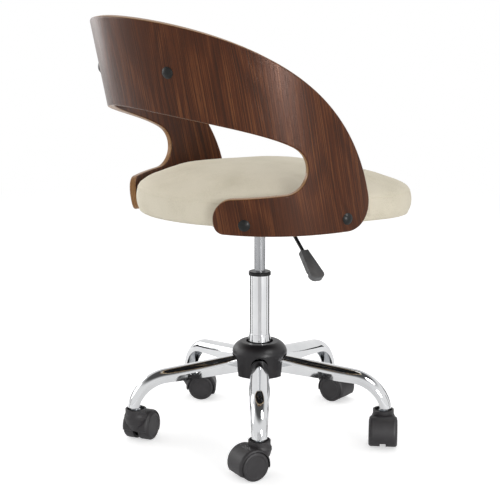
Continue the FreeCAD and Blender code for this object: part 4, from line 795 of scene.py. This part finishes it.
def tubeAlong(name, points, radius, sides, closed):
    # a thin round piping along points, as mesh
    made = bmesh.new()
    count = len(points)
    rings = []
    for i, point in enumerate(points):
        before = points[(i - 1) % count] if closed or i else points[0]
        after = points[(i + 1) % count] if closed or i < count - 1 else points[-1]
        ahead = (after - before).normalized()
        side = ahead.cross(Vector((0, 0, 1)))
        if side.length < uprightBelow:
            side = ahead.cross(Vector((1, 0, 0)))
        side.normalize()
        over = side.cross(ahead)
        rings.append([made.verts.new(point + (side * math.cos(a) + over * math.sin(a)) * radius)
                      for a in (2 * math.pi * k / sides for k in range(sides))])
    for i in range(count if closed else count - 1):
        one, two = rings[i], rings[(i + 1) % count]
        for k in range(sides):
            made.faces.new((one[k], one[(k + 1) % sides], two[(k + 1) % sides], two[k]))
    if not closed:
        made.faces.new(rings[0])
        made.faces.new(list(reversed(rings[-1])))
    bmesh.ops.recalc_face_normals(made, faces=made.faces)
    mesh = bpy.data.meshes.new(name)
    made.to_mesh(mesh)
    made.free()
    return mesh


def fromShellAxis(point):
    # how far a point lies from the leaning axis, and the way out
    offset = point - shellFoot
    outward = offset - shellUp * offset.dot(shellUp)
    return outward.length, outward.normalized()


def insideShell(mesh, gap):
    # pulls back what would reach into the wood, as far forward as the wood goes
    room = shellForm["radius"] - shellForm["wall"] - gap
    foremost = math.cos(math.radians(shellForm["reach"]))
    for vertex in mesh.vertices:
        distance, outward = fromShellAxis(vertex.co)
        if distance > room and outward.dot(shellBack) > foremost:
            vertex.co -= outward * (distance - room)


seatLook = {
    "voxel": 0.004,  # lengths and heights in m
    "start": (0.0035, 0.0035, 0.0005),  # the foam fills its cover, so the skin starts outside the solid
    "pressure": 4,
    "frames": 20,
    "cap": 0.003,  # the most that a point swells
    "settle": 1,  # times that the skin is smoothed, each by the next share
    "settleShare": 0.5,
    "shellGap": 0.0008,
    "heldRim": 0.004,  # the cover's lowest part is stapled and stays
    "heldSeam": 0.0045,  # to each side of a level over the seam, where the seam and its edge don't stretch
    "heldLevel": 0.002,
    "rimTop": 0.455,
    "crown": 0.034,  # its height over the rim, from just below the rim's top
    "crownBelow": 0.001,
    "roundness": (1.7, 1.95),  # of the crown as drawn, and of the fuller crown at the rear
    "fullFrom": (-0.06, 0.10),  # along the seat, where the fuller crown starts and is full
    "hem": 0.024,  # how far the cover goes in under the board
    "hemLift": 0.003,  # how far up into the board the skin goes beyond the hem
    "seamHeight": 0.4485,
    "seamRadius": 0.0008,
    "seamStep": 0.004,
    "seamPasses": 6,
    "seamSides": 8,
}


def outlineReach(points):
    # how far a closed outline round the column lies, as a function of the way there
    turns = sorted((math.atan2(point.y, point.x), Vector((point.x, point.y)).length) for point in points)
    angles = [angle for angle, reach in turns]

    def reachAt(angle):
        i = bisect.bisect(angles, angle) % len(angles)
        return (turns[i - 1][1] + turns[i][1]) / 2

    return reachAt


def fillCrown(made):
    # the rear of the crown stands fuller, where the foam is squeezed between the arms of the shell
    level = seatLook["seamHeight"]
    rim = [vertex.co for vertex in made.verts if abs(vertex.co.z - level) < seatLook["voxel"]]
    reachAt = outlineReach(rim)
    drawn, full = seatLook["roundness"]
    start, end = seatLook["fullFrom"]
    for vertex in made.verts:
        if vertex.co.z > seatLook["rimTop"] - seatLook["crownBelow"]:
            reach = reachAt(math.atan2(vertex.co.y, vertex.co.x))
            share = min(Vector((vertex.co.x, vertex.co.y)).length / reach, 1)
            rear = min(max((vertex.co.y - start) / (end - start), 0), 1)
            gain = (1 - share ** full) ** (1 / full) - (1 - share ** drawn) ** (1 / drawn)
            vertex.co.z += seatLook["crown"] * gain * rear * rear * (3 - 2 * rear)


def makeSeatCushion():
    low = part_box("seat_cushion")[0].z

    def held(point):
        return point.z < low + seatLook["heldRim"]

    def sewn(point):
        return abs(point.z - seatLook["seamHeight"] - seatLook["heldLevel"]) < seatLook["heldSeam"]

    mesh = swollen("seatCushion", ["seat_cushion", "seat_board"], seatLook, held, sewn, fillCrown)
    insideShell(mesh, seatLook["shellGap"])
    rim = levelLine(mesh, lambda point: point.z, seatLook["seamHeight"])
    rimTree = KDTree(len(rim))
    for i, point in enumerate(rim):
        rimTree.insert((point.x, point.y, 0), i)
    rimTree.balance()
    for vertex in mesh.vertices:
        # under the board the cover ends in a hem, and the raw board shows further in
        if vertex.co.z < low + seatLook["hemLift"]:
            inset = rimTree.find((vertex.co.x, vertex.co.y, 0))[2]
            vertex.co.z = low + faceGap + (seatLook["hemLift"] if inset > seatLook["hem"] else 0)
    cushion = linkPiece("seat_cushion_cover", mesh, leatherette, "seat")
    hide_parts("seat_cushion")
    line = evened(rim, seatLook["seamStep"], seatLook["seamPasses"])
    seam = tubeAlong("seat_seam", line, seatLook["seamRadius"], seatLook["seamSides"], True)
    linkPiece("seat_seam", seam, leatherette, "seat")


padLook = {
    "voxel": 0.004,  # lengths and depths in m
    "start": (-0.002, -0.002, -0.002),  # the skin starts this far inside the solid and swells out to it
    "pressure": 4,
    "frames": 20,
    "cap": 0.006,  # the most that a point swells
    "settle": 3,  # times that the skin is smoothed, each by the next share
    "settleShare": 0.5,
    "shellGap": 0.0006,
    "heldDepth": 0.009,  # from the band inward, the part that the board holds
    "heldSeam": 0.0015,  # to each side of the seam
    "seamDepth": 0.022,  # from the band inward
    "seamRadius": 0.0009,
    "seamStep": 0.004,
    "seamPasses": 6,
    "seamSides": 8,
}


def makeBackPad():
    glued = shellForm["radius"] - shellForm["wall"] - padLook["heldDepth"]
    seamDistance = shellForm["radius"] - shellForm["wall"] - padLook["seamDepth"]

    def held(point):
        return fromShellAxis(point)[0] > glued

    def sewn(point):
        return abs(fromShellAxis(point)[0] - seamDistance) < padLook["heldSeam"]

    mesh = swollen("backPad", ["back_pad", "pad_board"], padLook, held, sewn)
    insideShell(mesh, padLook["shellGap"])
    pad = linkPiece("back_pad_cover", mesh, leatherette, "seat")
    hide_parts("back_pad")
    rim = levelLine(mesh, lambda point: fromShellAxis(point)[0], seamDistance)
    line = evened(rim, padLook["seamStep"], padLook["seamPasses"])
    seam = tubeAlong("pad_seam", line, padLook["seamRadius"], padLook["seamSides"], True)
    linkPiece("pad_seam", seam, leatherette, "seat")


makeSeatCushion()
print("seat cushion made")
makeBackPad()
print("back pad made")


clothLook = {
    "steps": 160,  # points round the column
    "rings": 12,  # rows of faces from the opening to the edge
    "sag": 0.0016,  # m, in line with the middle between two staples
    "sagAtStaple": 0.6,  # the share of it in line with a staple
    "staples": 26,
    "stapleWidth": 0.010,  # m
    "stapleInset": 0.006,  # m from the cloth's edge
    "wire": 0.0006,  # m
    "wireSides": 6,
    "legUp": 1.1,  # wire widths that the legs go up into the board
    "backDown": 0.4,  # wire widths that the staple's back bows down
    "backWidth": 0.9,  # the bowed part, as a share of the staple's width
    "lookFrom": 0.5,  # m from the column, a point outside the cloth
}


def outlineOf(node, height):
    # the outer and inner rim of a flat node, as points at equal turns round the column
    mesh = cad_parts[node].data
    tree = BVHTree.FromPolygons([v.co for v in mesh.vertices], [p.vertices for p in mesh.polygons])
    outer, inner = [], []
    for step in range(clothLook["steps"]):
        angle = 2 * math.pi * (step + 0.5) / clothLook["steps"]
        way = Vector((math.cos(angle), math.sin(angle), 0))
        outer.append(tree.ray_cast(Vector((0, 0, height)) + way * clothLook["lookFrom"], -way)[0])
        inner.append(tree.ray_cast(Vector((0, 0, height)), way)[0])
    return outer, inner


def makeDustCloth():
    low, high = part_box("underside_cloth")
    middle = (low.z + high.z) / 2
    outer, inner = outlineOf("underside_cloth", middle)
    atStaple = clothLook["sagAtStaple"]
    made = bmesh.new()
    rings = []
    for ring in range(clothLook["rings"] + 1):
        share = ring / clothLook["rings"]
        row = []
        for step, (one, two) in enumerate(zip(inner, outer)):
            point = one.lerp(two, share)
            pull = math.cos(math.pi * clothLook["staples"] * step / clothLook["steps"]) ** 2
            sag = clothLook["sag"] * math.sin(math.pi * share) * (atStaple + (1 - atStaple) * pull)
            row.append(made.verts.new((point.x, point.y, high.z - faceGap - sag)))
        rings.append(row)
    count = clothLook["steps"]
    for one, two in zip(rings, rings[1:]):
        for k in range(count):
            made.faces.new((one[k], one[(k + 1) % count], two[(k + 1) % count], two[k]))
    area = sum(face.calc_area() for face in made.faces)
    bmesh.ops.recalc_face_normals(made, faces=made.faces)
    mesh = bpy.data.meshes.new("dust_cloth_sheet")
    made.to_mesh(mesh)
    made.free()
    cloth = linkPiece("dust_cloth_sheet", mesh, dustCloth, "seat")
    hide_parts("underside_cloth")

    made = bmesh.new()
    for index in range(clothLook["staples"]):
        step = int((index + 0.5) * count / clothLook["staples"]) % count
        rim = outer[step]
        along = (outer[(step + 1) % count] - outer[step - 1]).normalized()
        inward = Vector((-rim.x, -rim.y, 0)).normalized()
        centre = rim + inward * clothLook["stapleInset"]
        centre.z = high.z - faceGap - clothLook["wire"]
        half = along * clothLook["stapleWidth"] / 2
        up = Vector((0, 0, clothLook["wire"]))
        leg = up * clothLook["legUp"]
        back = half * clothLook["backWidth"]
        bow = up * clothLook["backDown"]
        path = [centre - half + leg, centre - half, centre - back - bow, centre + back - bow, centre + half,
                centre + half + leg]
        piece = tubeAlong("staple", path, clothLook["wire"] / 2, clothLook["wireSides"], False)
        made.from_mesh(piece)
        bpy.data.meshes.remove(piece)
    mesh = bpy.data.meshes.new("cloth_staples")
    made.to_mesh(mesh)
    made.free()
    linkPiece("cloth_staples", mesh, zincPlate, "seat")


makeDustCloth()
print("dust cloth made")
